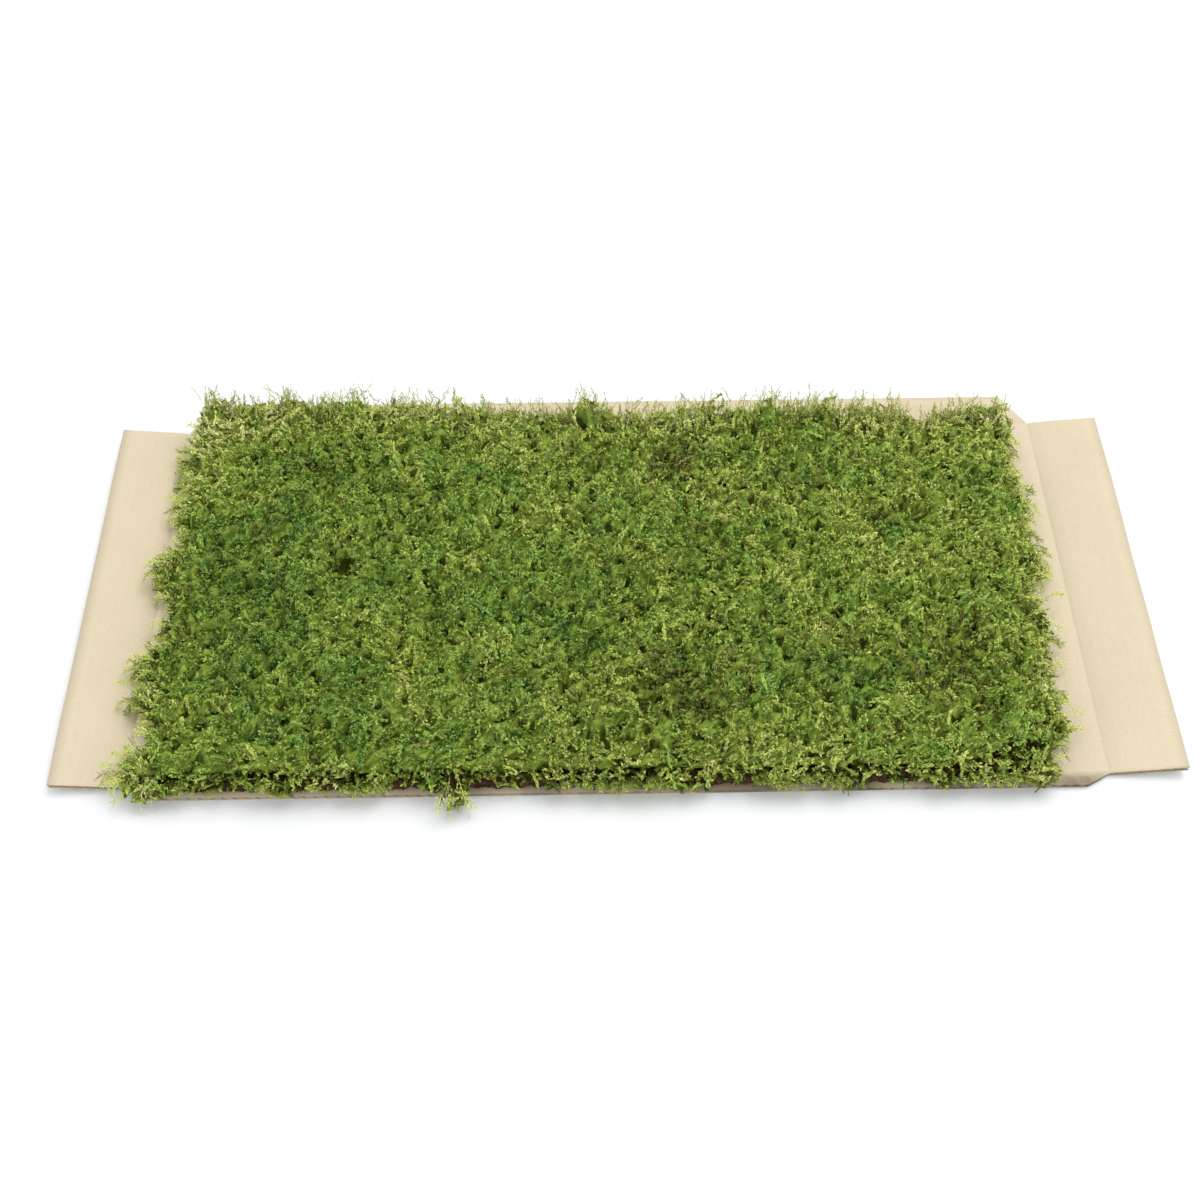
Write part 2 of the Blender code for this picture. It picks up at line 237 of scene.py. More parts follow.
# %% Node helpers
def new_material(name, roughness, specular):
    """A Principled material, with its node tree and its shader's inputs."""
    material = bpy.data.materials.new(name)
    material.use_nodes = True
    inputs = material.node_tree.nodes["Principled BSDF"].inputs
    inputs["Roughness"].default_value = roughness
    inputs["Specular IOR Level"].default_value = specular
    return material, material.node_tree, inputs


def add_node(tree, kind, inputs, **settings):
    """Adds a node. An input is a number to set or a socket to link. Returns its outputs."""
    node = tree.nodes.new("ShaderNode" + kind)
    for name, value in settings.items():
        setattr(node, name, value)
    for name, value in inputs.items():
        if isinstance(value, bpy.types.NodeSocket):
            tree.links.new(value, node.inputs[name])
        else:
            node.inputs[name].default_value = value
    return node.outputs


def ramp(tree, source, stops):
    """Looks source up on a colour ramp with stops of a place and a colour, or a grey."""
    node = tree.nodes.new("ShaderNodeValToRGB")
    elements = node.color_ramp.elements
    elements.remove(elements[-1])
    elements[0].position = stops[0][0]
    for place, _ in stops[1:]:
        elements.new(place)
    for element, (_, value) in zip(elements, stops):
        colour = value if isinstance(value, tuple) else (value,) * 3
        element.color = (*colour, 1.0)
    tree.links.new(source, node.inputs["Fac"])
    return node.outputs["Color"]


def object_place(tree):
    """Object coordinates."""
    return add_node(tree, "TexCoord", {})["Object"]


def noise(tree, scale, detail, stretch=(1, 1, 1)):
    """A noise on Object coordinates, drawn out along an axis where stretch is below 1."""
    place = add_node(tree, "Mapping", {"Vector": object_place(tree), "Scale": stretch})["Vector"]
    return add_node(tree, "TexNoise", {"Vector": place, "Scale": scale, "Detail": detail})["Fac"]


def multiply(tree, a, b):
    """Multiplies two colours."""
    inputs = {"Factor": 1.0, "A": a, "B": b}
    return add_node(tree, "Mix", inputs, data_type="RGBA", blend_type="MULTIPLY")["Result"]


def two_scale_material(name, hues, light):
    """The map's first number looks up a hue, its second how light it is, and they multiply."""
    material, tree, inputs = new_material(name, roughness=0.8, specular=0.0)
    place = add_node(tree, "UVMap", {}, uv_map=MAP_NAME)["UV"]
    split = add_node(tree, "SeparateXYZ", {"Vector": place})
    colour = multiply(tree, ramp(tree, split["X"], hues), ramp(tree, split["Y"], light))
    tree.links.new(colour, inputs["Base Color"])
    return material


def on_map(hue, light, spread=0.006):
    """Map coordinates of triangles' corners, from their hue (..., 1) and light (..., 3).

    The corners are spread a little along the hue scale, so that each triangle has an area
    there, and all are kept off the map's edges.
    """
    hues = hue + np.array([-spread, spread, 0.0])
    return np.stack(np.broadcast_arrays(hues, light), -1).clip(0.004, 0.996)


# %% [markdown]
# ## Measuring the turf
#
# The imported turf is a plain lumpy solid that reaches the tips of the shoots. To plant shoots
# that end on it, we need its height at any place. Rays dropped straight down on a fine grid
# measure it once, and after that the height anywhere is a blend of the four nearest rays. The
# outermost rays that hit are its rim, and the way out there is down the slope of a blur.

# %% Height of the turf
RAY_STEP = 0.0025
RAY_START = 0.2


def node_mesh(node):
    """The points (n, 3) and triangles (m, 3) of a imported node."""
    mesh = frame["nodes"][node].data
    points = np.empty(len(mesh.vertices) * 3, np.float32)
    mesh.vertices.foreach_get("co", points)
    mesh.calc_loop_triangles()
    triangles = np.empty(len(mesh.loop_triangles) * 3, np.int32)
    mesh.loop_triangles.foreach_get("vertices", triangles)
    return points.reshape(-1, 3), triangles.reshape(-1, 3)


def bells(x, table):
    """The sum of a table's flat-topped bells (middle, half-width, height) at each x."""
    heights = [h * np.exp(-(((x - middle) / half) ** 4)) for middle, half, h in table]
    return np.sum(heights, axis=0)


def mean_of_nine(values):
    """The mean of each value and its four neighbours to either side."""
    return np.convolve(np.pad(values, 4, mode="edge"), np.full(9, 1 / 9), "valid")


# Where the shoots end short of the solid's box. At the right: y, half-width, how much
RIGHT_TRIM = (
    (0.150, 0.022, 0.030), (0.092, 0.036, 0.018), (0.030, 0.026, 0.014),
    (-0.022, 0.020, 0.024), (-0.108, 0.012, 0.018), (-0.152, 0.027, 0.032),
)
# and at the back, at its two corners: x, half-width, how much
BACK_TRIM = ((-0.336, 0.026, 0.030), (0.322, 0.018, 0.014))


class HeightMap:
    """Heights of a node's top by rays on an even grid, and its rim seen from above."""

    def __init__(self, node):
        tree = BVHTree.FromPolygons(*(array.tolist() for array in node_mesh(node)))
        low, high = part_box(node)
        self.x = np.arange(low.x - RAY_STEP, high.x + 2 * RAY_STEP, RAY_STEP)
        self.y = np.arange(low.y - RAY_STEP, high.y + 2 * RAY_STEP, RAY_STEP)
        hits = (tree.ray_cast((x, y, RAY_START), (0, 0, -1))[0] for x in self.x for y in self.y)
        found = np.array([np.nan if hit is None else hit.z for hit in hits])
        self.z = found.reshape(len(self.x), len(self.y))
        self.inside = ~np.isnan(self.z)
        self.inside &= self.y < high.y - bells(self.x, BACK_TRIM)[:, None]
        self.inside &= self.x[:, None] < high.x - bells(self.y, RIGHT_TRIM)
        self.z[~self.inside] = np.nanmin(self.z)
        self.blur = self.inside.astype(float)
        for axis in (0, 1) * 8:
            beside = np.roll(self.blur, 1, axis), np.roll(self.blur, -1, axis)
            self.blur = (beside[0] + self.blur + beside[1]) / 3
        within = self.inside.copy()
        for axis in (0, 1):
            within &= np.roll(self.inside, 1, axis) & np.roll(self.inside, -1, axis)
        i, j = np.nonzero(self.inside & ~within)
        self.rim = np.stack([self.x[i], self.y[j]], -1)
        self.rim_top = self.z[i, j]
        self.outward = unit(-np.stack(np.gradient(self.blur), -1)[i, j])

    def raise_back(self, rise, reach):
        """Lifts the back rim by a rise for every row of rays in X, which fades away from it."""
        last = mean_of_nine(self.y[len(self.y) - 1 - self.inside[:, ::-1].argmax(1)])
        self.z += rise[:, None] * np.exp(-(last[:, None] - self.y).clip(0) / reach)
        self.rim_top += np.interp(self.rim[:, 0], self.x, rise) * self.outward[:, 1].clip(0)

    def blend(self, grid, x, y):
        """The grid's value at each place: the blend of its cell's four corners."""
        fx = ((x - self.x[0]) / RAY_STEP).clip(0, len(self.x) - 1.001)
        fy = ((y - self.y[0]) / RAY_STEP).clip(0, len(self.y) - 1.001)
        i, j = fx.astype(int), fy.astype(int)
        fx, fy = fx - i, fy - j
        low = grid[i, j] * (1 - fx) + grid[i + 1, j] * fx
        high = grid[i, j + 1] * (1 - fx) + grid[i + 1, j + 1] * fx
        return low * (1 - fy) + high * fy

    def height(self, x, y):
        return self.blend(self.z, x, y)

    def holds(self, x, y):
        return self.blend(self.inside.astype(float), x, y) > 0.99

    def surrounded(self, x, y):
        """How much turf there is round a place: 1 well inside, 0.5 on a straight rim."""
        return self.blend(self.blur, x, y)

    def edges(self, axis):
        """The turf's first and last place along an axis, in every row of rays that spans it.

        A row spans it if it crosses at least four fifths of its greatest width. Each place is
        the innermost of nine neighbouring rows, made even by a mean of nine.
        """
        across, along = (self.x, self.y) if axis else (self.y, self.x)
        inside = self.inside if axis else self.inside.T
        first = along[inside.argmax(1)]
        last = along[len(along) - 1 - inside[:, ::-1].argmax(1)]
        width = (last - first) * inside.any(1)
        spans = width > 0.8 * width.max()
        first, last = (
            np.lib.stride_tricks.sliding_window_view(np.pad(edge[spans], 4, mode="edge"), 9)
            for edge in (first, last)
        )
        return across[spans], mean_of_nine(first.max(1)), mean_of_nine(last.min(1))

    def from_rim(self, x, y):
        """Distance to the nearest rim point, and the way out there."""
        gap = np.hypot(x[:, None] - self.rim[:, 0], y[:, None] - self.rim[:, 1])
        nearest = gap.argmin(1)
        return gap[np.arange(len(x)), nearest], self.outward[nearest]


BACK_RISE = 0.0095  # how much higher than the solid the shaggy back rim stands
BACK_REACH = 0.014
# Dips in the back rim, where the card's flap shows behind it: x, half-width, depth
BACK_DIPS = ((-0.055, 0.030, 0.0105), (0.020, 0.018, 0.0110), (0.238, 0.025, 0.0125))


turf = HeightMap("green_moss")
turf.raise_back(BACK_RISE - bells(turf.x, BACK_DIPS), BACK_REACH)
print("turf height, mm:", np.round(np.percentile(turf.z[turf.inside] * 1000, [5, 50, 95]), 1))
print("rim points:", len(turf.rim))

# %% [markdown]
# ## The green of the moss
#
# Leaves of one plant run from a dark, brownish green low down to a bright yellow-green at the
# tips, and whole plants differ: some are bluish, some olive, some dead and brown. So each leaf
# points at a place on a map of two plain scales. Across is the hue of its shoot, and up is how
# young and lit it is. The material only reads those two numbers through colour ramps.

# %% Moss leaves
MOSS_HUES = (  # place on the scale, and colour (linear red, green, blue)
    (0.00, (0.068, 0.064, 0.013)),
    (0.08, (0.150, 0.150, 0.032)),
    (0.18, (0.310, 0.322, 0.085)),
    (0.28, (0.260, 0.300, 0.070)),
    (0.36, (0.215, 0.350, 0.075)),
    (0.50, (0.335, 0.480, 0.095)),
    (0.66, (0.455, 0.545, 0.115)),
    (0.82, (0.560, 0.605, 0.160)),
    (1.00, (0.660, 0.670, 0.260)),
)
MOSS_LIGHT = (  # place on the scale, and what it multiplies the hue by
    (0.00, (0.05, 0.05, 0.02)),
    (0.35, (0.70, 0.72, 0.53)),
    (0.68, (1.30, 1.32, 1.44)),
    (1.00, (1.43, 1.42, 1.60)),
)

leaves = two_scale_material("moss leaves", MOSS_HUES, MOSS_LIGHT)

# %% [markdown]
# ## One shoot
#
# A shoot of feather moss is an arching stem with side branches to the left and right, like a
# small fern. Stem and branches are ropes of overlapping leaves. Hair particles would be lost
# when the model is exported, and a leaf with thickness costs too much so many thousand times
# over. So a leaf is one triangle that stands off the rope at an angle, and the golden angle
# turns each leaf from the one before, as in the real plant.

# %% Leaves round a path
GOLDEN_ANGLE = math.pi * (3 - math.sqrt(5))
LEAF_CURVE = 0.7  # how far a leaf's normals turn aside at its foot


class Leaf(NamedTuple):
    """A leaf's size in metres, the step from one to the next, and how far it stands off."""

    length: float
    width: float
    step: float
    spread: float


def leaf_rope(path, leaf, light, rng):
    """Leaves round a path (n, 3) that runs from its foot to its tip.

    Leaf k sits at arc length k times the step. Its way out is turned by k golden angles round
    the path, it leans forward by the spread, and its three corners are the two ends of its
    foot, across the path, and its tip. It is shaded as a scale that curves round the rope: its
    normals point out at the tip, and out and to either side at the foot. Returns corners and
    normals (k, 3, 3) and light (k, 3).
    """
    steps = np.linalg.norm(np.diff(path, axis=0), axis=1)
    reach = np.concatenate([[0], np.cumsum(steps)])
    count = max(int(reach[-1] / leaf.step), 3)
    share = (np.arange(count) + 0.6) / count
    places = np.stack([np.interp(share * reach[-1], reach, path[:, c]) for c in range(3)], -1)
    ahead = unit(np.gradient(places, axis=0))
    first = unit(np.cross(ahead, rng.normal(size=3)))
    second = np.cross(ahead, first)
    turn = GOLDEN_ANGLE * np.arange(count) + rng.uniform(0, 2 * math.pi)
    out = np.cos(turn)[:, None] * first + np.sin(turn)[:, None] * second
    across = np.cross(ahead, out)
    lean = leaf.spread * (1 - 0.55 * share**3)[:, None]
    size = ((1 - 0.25 * share**2) * rng.uniform(0.8, 1.2, count))[:, None]
    tips = places + leaf.length * size * (np.cos(lean) * ahead + np.sin(lean) * out)
    half = 0.5 * leaf.width * size * across
    feet = places - 0.15 * leaf.length * size * out
    corners = np.stack([feet - half, feet + half, tips], 1)
    normals = np.stack([unit(out - LEAF_CURVE * across), unit(out + LEAF_CURVE * across), out], 1)
    lit = light[0] + (light[1] - light[0]) * share
    return corners, normals, np.stack([lit - 0.02, lit - 0.02, lit + 0.02], -1)


# %% The shoot
STEM_POINTS = 12
SHOOT_KINDS = 26  # different shoots of each form


class Form(NamedTuple):
    """How a kind of shoot grows: lengths in metres, and ranges to draw from."""

    length: float
    bend: tuple  # how far the stem turns from tip to foot, in radians
    branches: tuple
    tangle: float  # how far the branches leave the shoot's own plane
    curl: tuple  # how far a branch turns from its foot to its tip, in radians
    reach: float  # length of the longest branch
    leaf: Leaf
    bare: float  # share of the stem, from the foot, that is hidden and so has no leaves
    light: tuple  # how light the stem's leaves are at its foot and tip


CUSHION_LEAF = Leaf(0.0021, 0.00185, 0.00068, 0.30)
SPRAY_LEAF = Leaf(0.0018, 0.00130, 0.00060, 0.42)
SPROUT_LEAF = Leaf(0.0015, 0.00095, 0.00070, 0.45)
FORMS = {
    "cushion": Form(
        0.0120, (0.3, 1.6), (4, 7), 0.9, (0.8, 3.0), 0.0058, CUSHION_LEAF, 0.12, (0.70, 0.82)
    ),
    "spray": Form(
        0.0210, (0.2, 0.9), (8, 12), 0.4, (0.4, 2.0), 0.0062, SPRAY_LEAF, 0.10, (0.70, 0.84)
    ),
    "sprout": Form(
        0.0190, (0.1, 0.7), (2, 6), 0.5, (0.4, 2.0), 0.0055, SPROUT_LEAF, 0.00, (0.60, 0.85)
    ),
}


def arc(foot, ahead, side, length, turn_from, turn_to, points=7):
    """A bent path: it leaves foot at turn_from off ahead, towards side, and ends at turn_to."""
    angle = np.linspace(turn_from, turn_to, points)
    steps = np.cos(angle)[:, None] * ahead + np.sin(angle)[:, None] * side
    return foot + (np.cumsum(steps, 0) - steps[0]) * length / (points - 1)


def make_shoot(form, rng):
    """One shoot with its tip at the origin, growing along +Z, with its foot bent to -X.

    The stem is an arc. Branches leave it left and right in turn at about fifty degrees, curve
    forward, and are longest below the middle.
    """
    length = form.length * rng.uniform(0.85, 1.15)
    down, back = np.array([0.0, 0.0, -1.0]), np.array([-1.0, 0.0, 0.0])
    stem = arc(np.zeros(3), down, back, length, 0, rng.uniform(*form.bend), STEM_POINTS)[::-1]
    clad = stem[int(form.bare * STEM_POINTS):]
    parts = [leaf_rope(clad, form.leaf, form.light, rng)]
    branches = rng.integers(*form.branches)
    for k in range(branches):
        place = form.bare + (0.93 - form.bare) * (k + rng.uniform(0, 0.6)) / branches
        at = place * (STEM_POINTS - 1)
        low = int(at)
        foot = stem[low] + (at - low) * (stem[low + 1] - stem[low])
        ahead = unit(stem[low + 1] - stem[low])
        side = np.array([0, 1.0 if k % 2 else -1.0, 0]) + form.tangle * rng.normal(size=3)
        side = unit(side - ahead * (side @ ahead))
        reach = form.reach * math.sin(math.pi * (0.25 + 0.75 * place)) ** 0.6
        start = rng.uniform(0.8, 1.2)
        end = start - rng.uniform(*form.curl)
        path = arc(foot, ahead, side, reach * rng.uniform(0.75, 1.2), start, end)
        lit = form.light[0] + (form.light[1] - form.light[0]) * place
        lit *= rng.uniform(0.90, 1.04)
        parts.append(leaf_rope(path, form.leaf, (0.90 * lit, lit + 0.02), rng))
    return joined(parts)


rng = np.random.default_rng(3)
shoots = {name: [make_shoot(form, rng) for _ in range(SHOOT_KINDS)] for name, form in FORMS.items()}
for name, kinds in shoots.items():
    print(name, "leaves a shoot:", round(np.mean([len(corners) for corners, *_ in kinds]), 1))

# %% [markdown]
# ## Planting
#
# A shoot is planted by its tip, because the tips make the surface. Each gets a tip point, the
# way it grows there, and which way its back faces, and from those comes a turning matrix. All
# shoots of one kind are turned and moved in one matrix product.


# %% Planting shoots
def turning(grow, roll, rng):
    """Matrices whose third column is the way a shoot grows.

    The first column is the upward direction square to it, so that the bent foot goes down,
    turned about the growth by a random roll.
    """
    up = np.array([0.0, 0.0, 1.0]) + 0.02 * rng.normal(size=grow.shape)
    back = unit(up - grow * (grow * up).sum(1, keepdims=True))
    angle = rng.normal(0, roll, len(grow))[:, None]
    turned = np.cos(angle) * back + np.sin(angle) * np.cross(grow, back)
    return np.stack([turned, np.cross(grow, turned), grow], -1)


# How light leaves are painted at a depth under the turf's top: painted light just under the top, as
# if light shone through the thin outermost leaves, and painted shade deep down, where the old
# leaves lie in shade.
DEPTHS = (-0.0010, 0.0014, 0.0032, 0.0078)
DEPTH_LIGHT = (0.93, 1.12, 1.14, 0.42)
UPTURN = np.array([0, 0, 0.7])  # turns the leaves' shading up: light from above glows in them
LEAF_LOW = 0.0006  # no leaf is lower: sprigs that hang over the card rest on the floor


def plant(form, tips, grow, size, hue, light, roll, rng):
    """Puts a shoot of the form at every tip. Returns corners, normals and map (k, 3, 3 or 2).

    How light a leaf is goes by its depth under the turf's top, in painted light and shade, but not
    out past the rim.
    """
    matrices = turning(unit(grow), roll, rng)
    kind = rng.integers(0, SHOOT_KINDS, len(tips))
    parts = []
    for number, (*arrays, lit) in enumerate(shoots[form]):
        mine = np.flatnonzero(kind == number)
        turned, facing = (np.einsum("nij,kcj->nkci", matrices[mine], array) for array in arrays)
        placed = turned * size[mine, None, None, None] + tips[mine, None, None]
        x, y, z = np.moveaxis(placed.mean(2), -1, 0)
        covered = ((turf.surrounded(x, y) - 0.5) / 0.4).clip(0, 1)
        dimmed = 1 + covered * (np.interp(turf.height(x, y) - z, DEPTHS, DEPTH_LIGHT) - 1)
        up = lit * light[mine, None, None] * dimmed[..., None]
        across = hue[mine, None, None] + rng.uniform(-0.015, 0.015, (*x.shape, 1))
        batch = (placed, unit(facing + UPTURN), on_map(across, up))
        parts.append([array.reshape(-1, 3, array.shape[-1]) for array in batch])
    return joined(parts)


def add_shoots(name, *batches):
    """Makes one or more batches of planted leaves into one piece."""
    corners, normals, coords = joined(batches)
    points = corners.reshape(-1, 3)
    points[:, 2] = points[:, 2].clip(LEAF_LOW)
    triangles = np.arange(len(points)).reshape(-1, 3)
    add_piece(name, "green_moss", leaves, points, triangles, coords, normals)


# %% [markdown]
# ## The colours from place to place
#
# A mat like this isn't one green. It has swells of colour, small patches where dead brown shoots
# show and a few places with a darker and bluer green. Its rim is paler and more yellow, which is
# partly painted light: the front and back rims, the back most, are made lighter as if lit there,
# and the whole mat lighter towards the right and the back. Painted shade darkens the hollows and
# the small gaps. Soft noises make the swells, broad and fine. The places that stand out are named
# in short tables.

# %% Colour fields
# Patches where dead shoots show: x, y, half-width, share of dead shoots
BROWN_PATCHES = (
    (0.048, 0.096, 0.024, 0.62), (0.062, 0.030, 0.016, 0.40), (0.128, 0.076, 0.022, 0.40),
    (0.158, -0.060, 0.016, 0.40), (0.228, -0.078, 0.032, 0.50), (0.046, -0.096, 0.034, 0.62),
    (-0.210, 0.082, 0.014, 0.30), (0.200, 0.050, 0.020, 0.30), (-0.318, -0.020, 0.020, 0.50),
    (0.302, -0.036, 0.018, 0.50),
)
# Patches of bluish, darker green: x, y, half-width, how far the hue moves
BLUISH_PATCHES = (
    (-0.190, 0.088, 0.026, 0.10), (0.075, -0.108, 0.014, 0.12), (0.152, -0.098, 0.018, 0.12),
    (-0.275, -0.030, 0.060, 0.15), (-0.020, -0.040, 0.040, 0.04),
)
STRAW_CORNER = ((-0.285, 0.142, 0.034, 0.40),)  # a pale patch: how far the hue moves
# Hollows one looks down into: x, y, half-width, how bare they are and how dark, the dark being
# painted shade
HOLLOWS = (
    (-0.190, 0.008, 0.0072, 2.00), (-0.122, -0.034, 0.007, 0.80), (-0.018, -0.055, 0.006, 0.70),
    (0.218, 0.045, 0.007, 0.60), (0.060, -0.020, 0.005, 0.60), (-0.060, -0.086, 0.005, 0.70),
    (0.020, -0.104, 0.006, 0.60),
)
# Where the moss stops short at the front and the thatch shows: x, half-width, how bare
BARE_FRONT = (
    (-0.256, 0.024, 0.8), (-0.206, 0.008, 0.7), (-0.138, 0.011, 0.8),
    (-0.072, 0.034, 1.0), (0.070, 0.026, 0.7), (0.178, 0.022, 0.8),
)
GAP_WAVE = 0.0115  # small gaps between tufts, darkened by painted shade: how far apart,
GAP_LEVEL = 0.85  # and how rare


def gaps(x, y):
    """The small gaps between tufts, 0 to 1: where a soft noise is high."""
    high = soft_noise(x, y, GAP_WAVE, np.random.default_rng(22)) - GAP_LEVEL
    return (1.6 * high).clip(0, 1)


def patches(x, y, table):
    """The strongest of a table's round patches at each place."""
    amount = np.zeros(len(x))
    for px, py, half_width, strength in table:
        bell = np.exp(-((x - px) ** 2 + (y - py) ** 2) / half_width**2)
        amount = np.maximum(amount, strength * bell)
    return amount


def shoot_light(x, y):
    """How light the shoots are: painted light, more towards the right and the back as if lit from
    there, with soft swells.
    """
    rng = np.random.default_rng(23)
    swells = 0.045 * soft_noise(x, y, 0.06, rng) + 0.06 * soft_noise(x, y, 0.018, rng)
    shade = 0.34 * patches(x, y, BROWN_PATCHES) + patches(x, y, BLUISH_PATCHES)
    return 1 + 0.30 * x + 0.22 * y + swells - shade


def with_some(hue, share, low, high, rng):
    """The hues, but for a random share of them that is between low and high."""
    chosen = rng.random(len(hue)) < share
    return np.where(chosen, rng.uniform(low, high, len(hue)), hue)


def shoot_hue(x, y, edge, rng):
    """The hue scale's number for a shoot: swells of three sizes, yellower near the rim."""
    swells = np.random.default_rng(21)
    hue = 0.56 + 0.20 * x + rng.normal(0, 0.034, len(x)) + 0.20 * np.exp(-edge / 0.016)
    for amount, wavelength in ((0.05, 0.12), (0.06, 0.022), (0.065, 0.045)):
        hue += amount * soft_noise(x, y, wavelength, swells)
    hue = (hue - patches(x, y, BLUISH_PATCHES)).clip(0.38, 0.92)
    return with_some(hue, 0.04 + 1.2 * patches(x, y, BROWN_PATCHES), 0.06, 0.27, rng)


# %% [markdown]
# ## The crown
#
# The shoots that make the top are planted on a shaken honeycomb, which spreads them evenly
# without a pattern. Most tips lie within two millimetres of the turf's surface, and some deeper
# to fill the gaps. A shoot nods over at its tip, so most grow nearly level there, and
# neighbours tend to nod the same way. Near the rim all lean outwards. The crown is cut into
# five pieces across its length, which keeps each a handy size.

# %% The crown
CROWN_SHOOTS = 13900  # on the whole honeycomb, from which hollows and the rim take some away
CROWN_PIECES = ("left", "mid_left", "middle", "mid_right", "right")
GAP_DEPTH = 0.007
HOLLOW_DEPTH = 0.011
RIM_SPARSE = 0.30  # the crown stops where less turf than this is round a place
FRONT_LIMIT = -0.160  # what hangs out further in front is a sprig, made below
RECESS = 0.0040  # how far the moss stops short where the thatch shows


def crown_tips(rng):
    """Tip places on a shaken honeycomb over the turf, and how deep each lies under its top."""
    spacing = math.sqrt(turf.inside.sum() * RAY_STEP**2 / CROWN_SHOOTS / math.sqrt(0.75))
    rows = np.arange(turf.y[0], turf.y[-1], spacing * math.sqrt(0.75))
    x, row = np.meshgrid(np.arange(turf.x[0], turf.x[-1], spacing), np.arange(len(rows)))
    x = (x + 0.5 * spacing * (row % 2)).ravel()
    y = rows[row.ravel()]
    x, y = (places + rng.uniform(-0.6, 0.6, len(x)) * spacing for places in (x, y))
    bare = rng.random(len(x)) < 0.9 * patches(x, y, HOLLOWS) + 0.4 * gaps(x, y)
    room = ((turf.surrounded(x, y) - RIM_SPARSE) / 0.25).clip(0, 1)
    keep = turf.holds(x, y) & ~bare & (rng.random(len(x)) < room) & (y > FRONT_LIMIT)
    x, y = x[keep], y[keep]
    under = np.abs(rng.normal(0, 0.0016, len(x)))
    under += (rng.random(len(x)) < 0.25) * rng.uniform(0.001, 0.004, len(x))
    return x, y, under + GAP_DEPTH * gaps(x, y) + HOLLOW_DEPTH * patches(x, y, HOLLOWS)


def crown():
    """Shoots all over the turf, nodding every way, and outwards near the rim."""
    rng = np.random.default_rng(5)
    x, y, under = crown_tips(rng)
    edge, outward = turf.from_rim(x, y)
    rim = np.exp(-edge / 0.009)
    front, back = (rim * (sign * outward[:, 1]).clip(0, 1) for sign in (-1, 1))
    heading = math.pi * soft_noise(x, y, 0.05, rng) + rng.normal(0, 1.2, len(x))
    lean = np.radians(rng.uniform(50, 90, len(x)))
    level = np.sin(lean)[:, None] * np.stack([np.cos(heading), np.sin(heading)], -1)
    level += (1.5 * rim - back)[:, None] * outward
    grow = at_height(level, np.cos(lean))
    size = rng.uniform(0.8, 1.15, len(x))
    light = rng.uniform(0.92, 1.08, len(x)) * shoot_light(x, y)
    near_rim = np.exp(-edge / 0.020)
    near_back = near_rim * outward[:, 1].clip(0)
    # painted light: shoots near the front rim are made a little lighter and those near the back rim
    # much lighter, as if light shone through them from behind
    light *= 1 + 0.12 * front + 0.46 * near_back + 0.02 * near_rim
    # painted shade: shoots in the hollows and in the gaps between tufts are made darker
    light *= (1 - 0.7 * patches(x, y, HOLLOWS).clip(0, 1)) * (1 - 0.5 * gaps(x, y))
    hue = shoot_hue(x, y, edge, rng) + 0.20 * near_back + patches(x, y, STRAW_CORNER)
    hue = with_some(hue, 0.30 * near_back, 0.16, 0.25, rng)
    z = turf.height(x, y) - under + back * rng.normal(0, 0.0015, len(x))
    recess = RECESS * front * bells(x, BARE_FRONT) * rng.uniform(0.3, 1.3, len(x))
    tips = np.stack([x, y + recess, z], -1)
    for name, mine in zip(CROWN_PIECES, np.array_split(np.argsort(x), len(CROWN_PIECES))):
        own = (array[mine] for array in (tips, grow, size, hue, light))
        add_shoots(f"moss_crown_{name}", plant("cushion", *own, 0.6, rng))


crown()

# %% [markdown]
# ## The rim
#
# At the rim the shoots are longer and stand out sideways like fern fronds, because they hang
# free there. Low ones droop over the brown side, high ones reach up. They are planted round the
# rim that the rays found, at random heights between the thatch and the rim's top. Behind them
# a skirt of short shoots covers the turf's walls, so that no bare wall shows from any side.

# %% Rim sprays
RIM_SPRAYS = 1400
RIM_LOW = 0.0040  # the lowest tips
BARE_LOW = 0.0130  # the lowest tips where the thatch shows
FRONT_REACH = 0.0046  # how much further the sprays reach out in front,
BACK_LOW_REACH = 0.0050  # the low ones at the back,
LEFT_REACH = 0.0060  # and the low ones at the left end, with lobes: y, half-width, extra reach
LEFT_LOBES = (
    (0.098, 0.036, 0.015), (0.024, 0.012, 0.008), (-0.055, 0.022, 0.007), (-0.100, 0.012, 0.005)
)
LOBE_BARE = 0.25  # a lobe with less turf than this round it gets almost no sprays

# At each rim point: how much turf there is round it, and how far it faces the front, but less
# where the thatch shows
rim_around = turf.surrounded(*turf.rim.T)
mossy_front = (-turf.outward[:, 1]).clip(0) * (1 - bells(turf.rim[:, 0], BARE_FRONT))


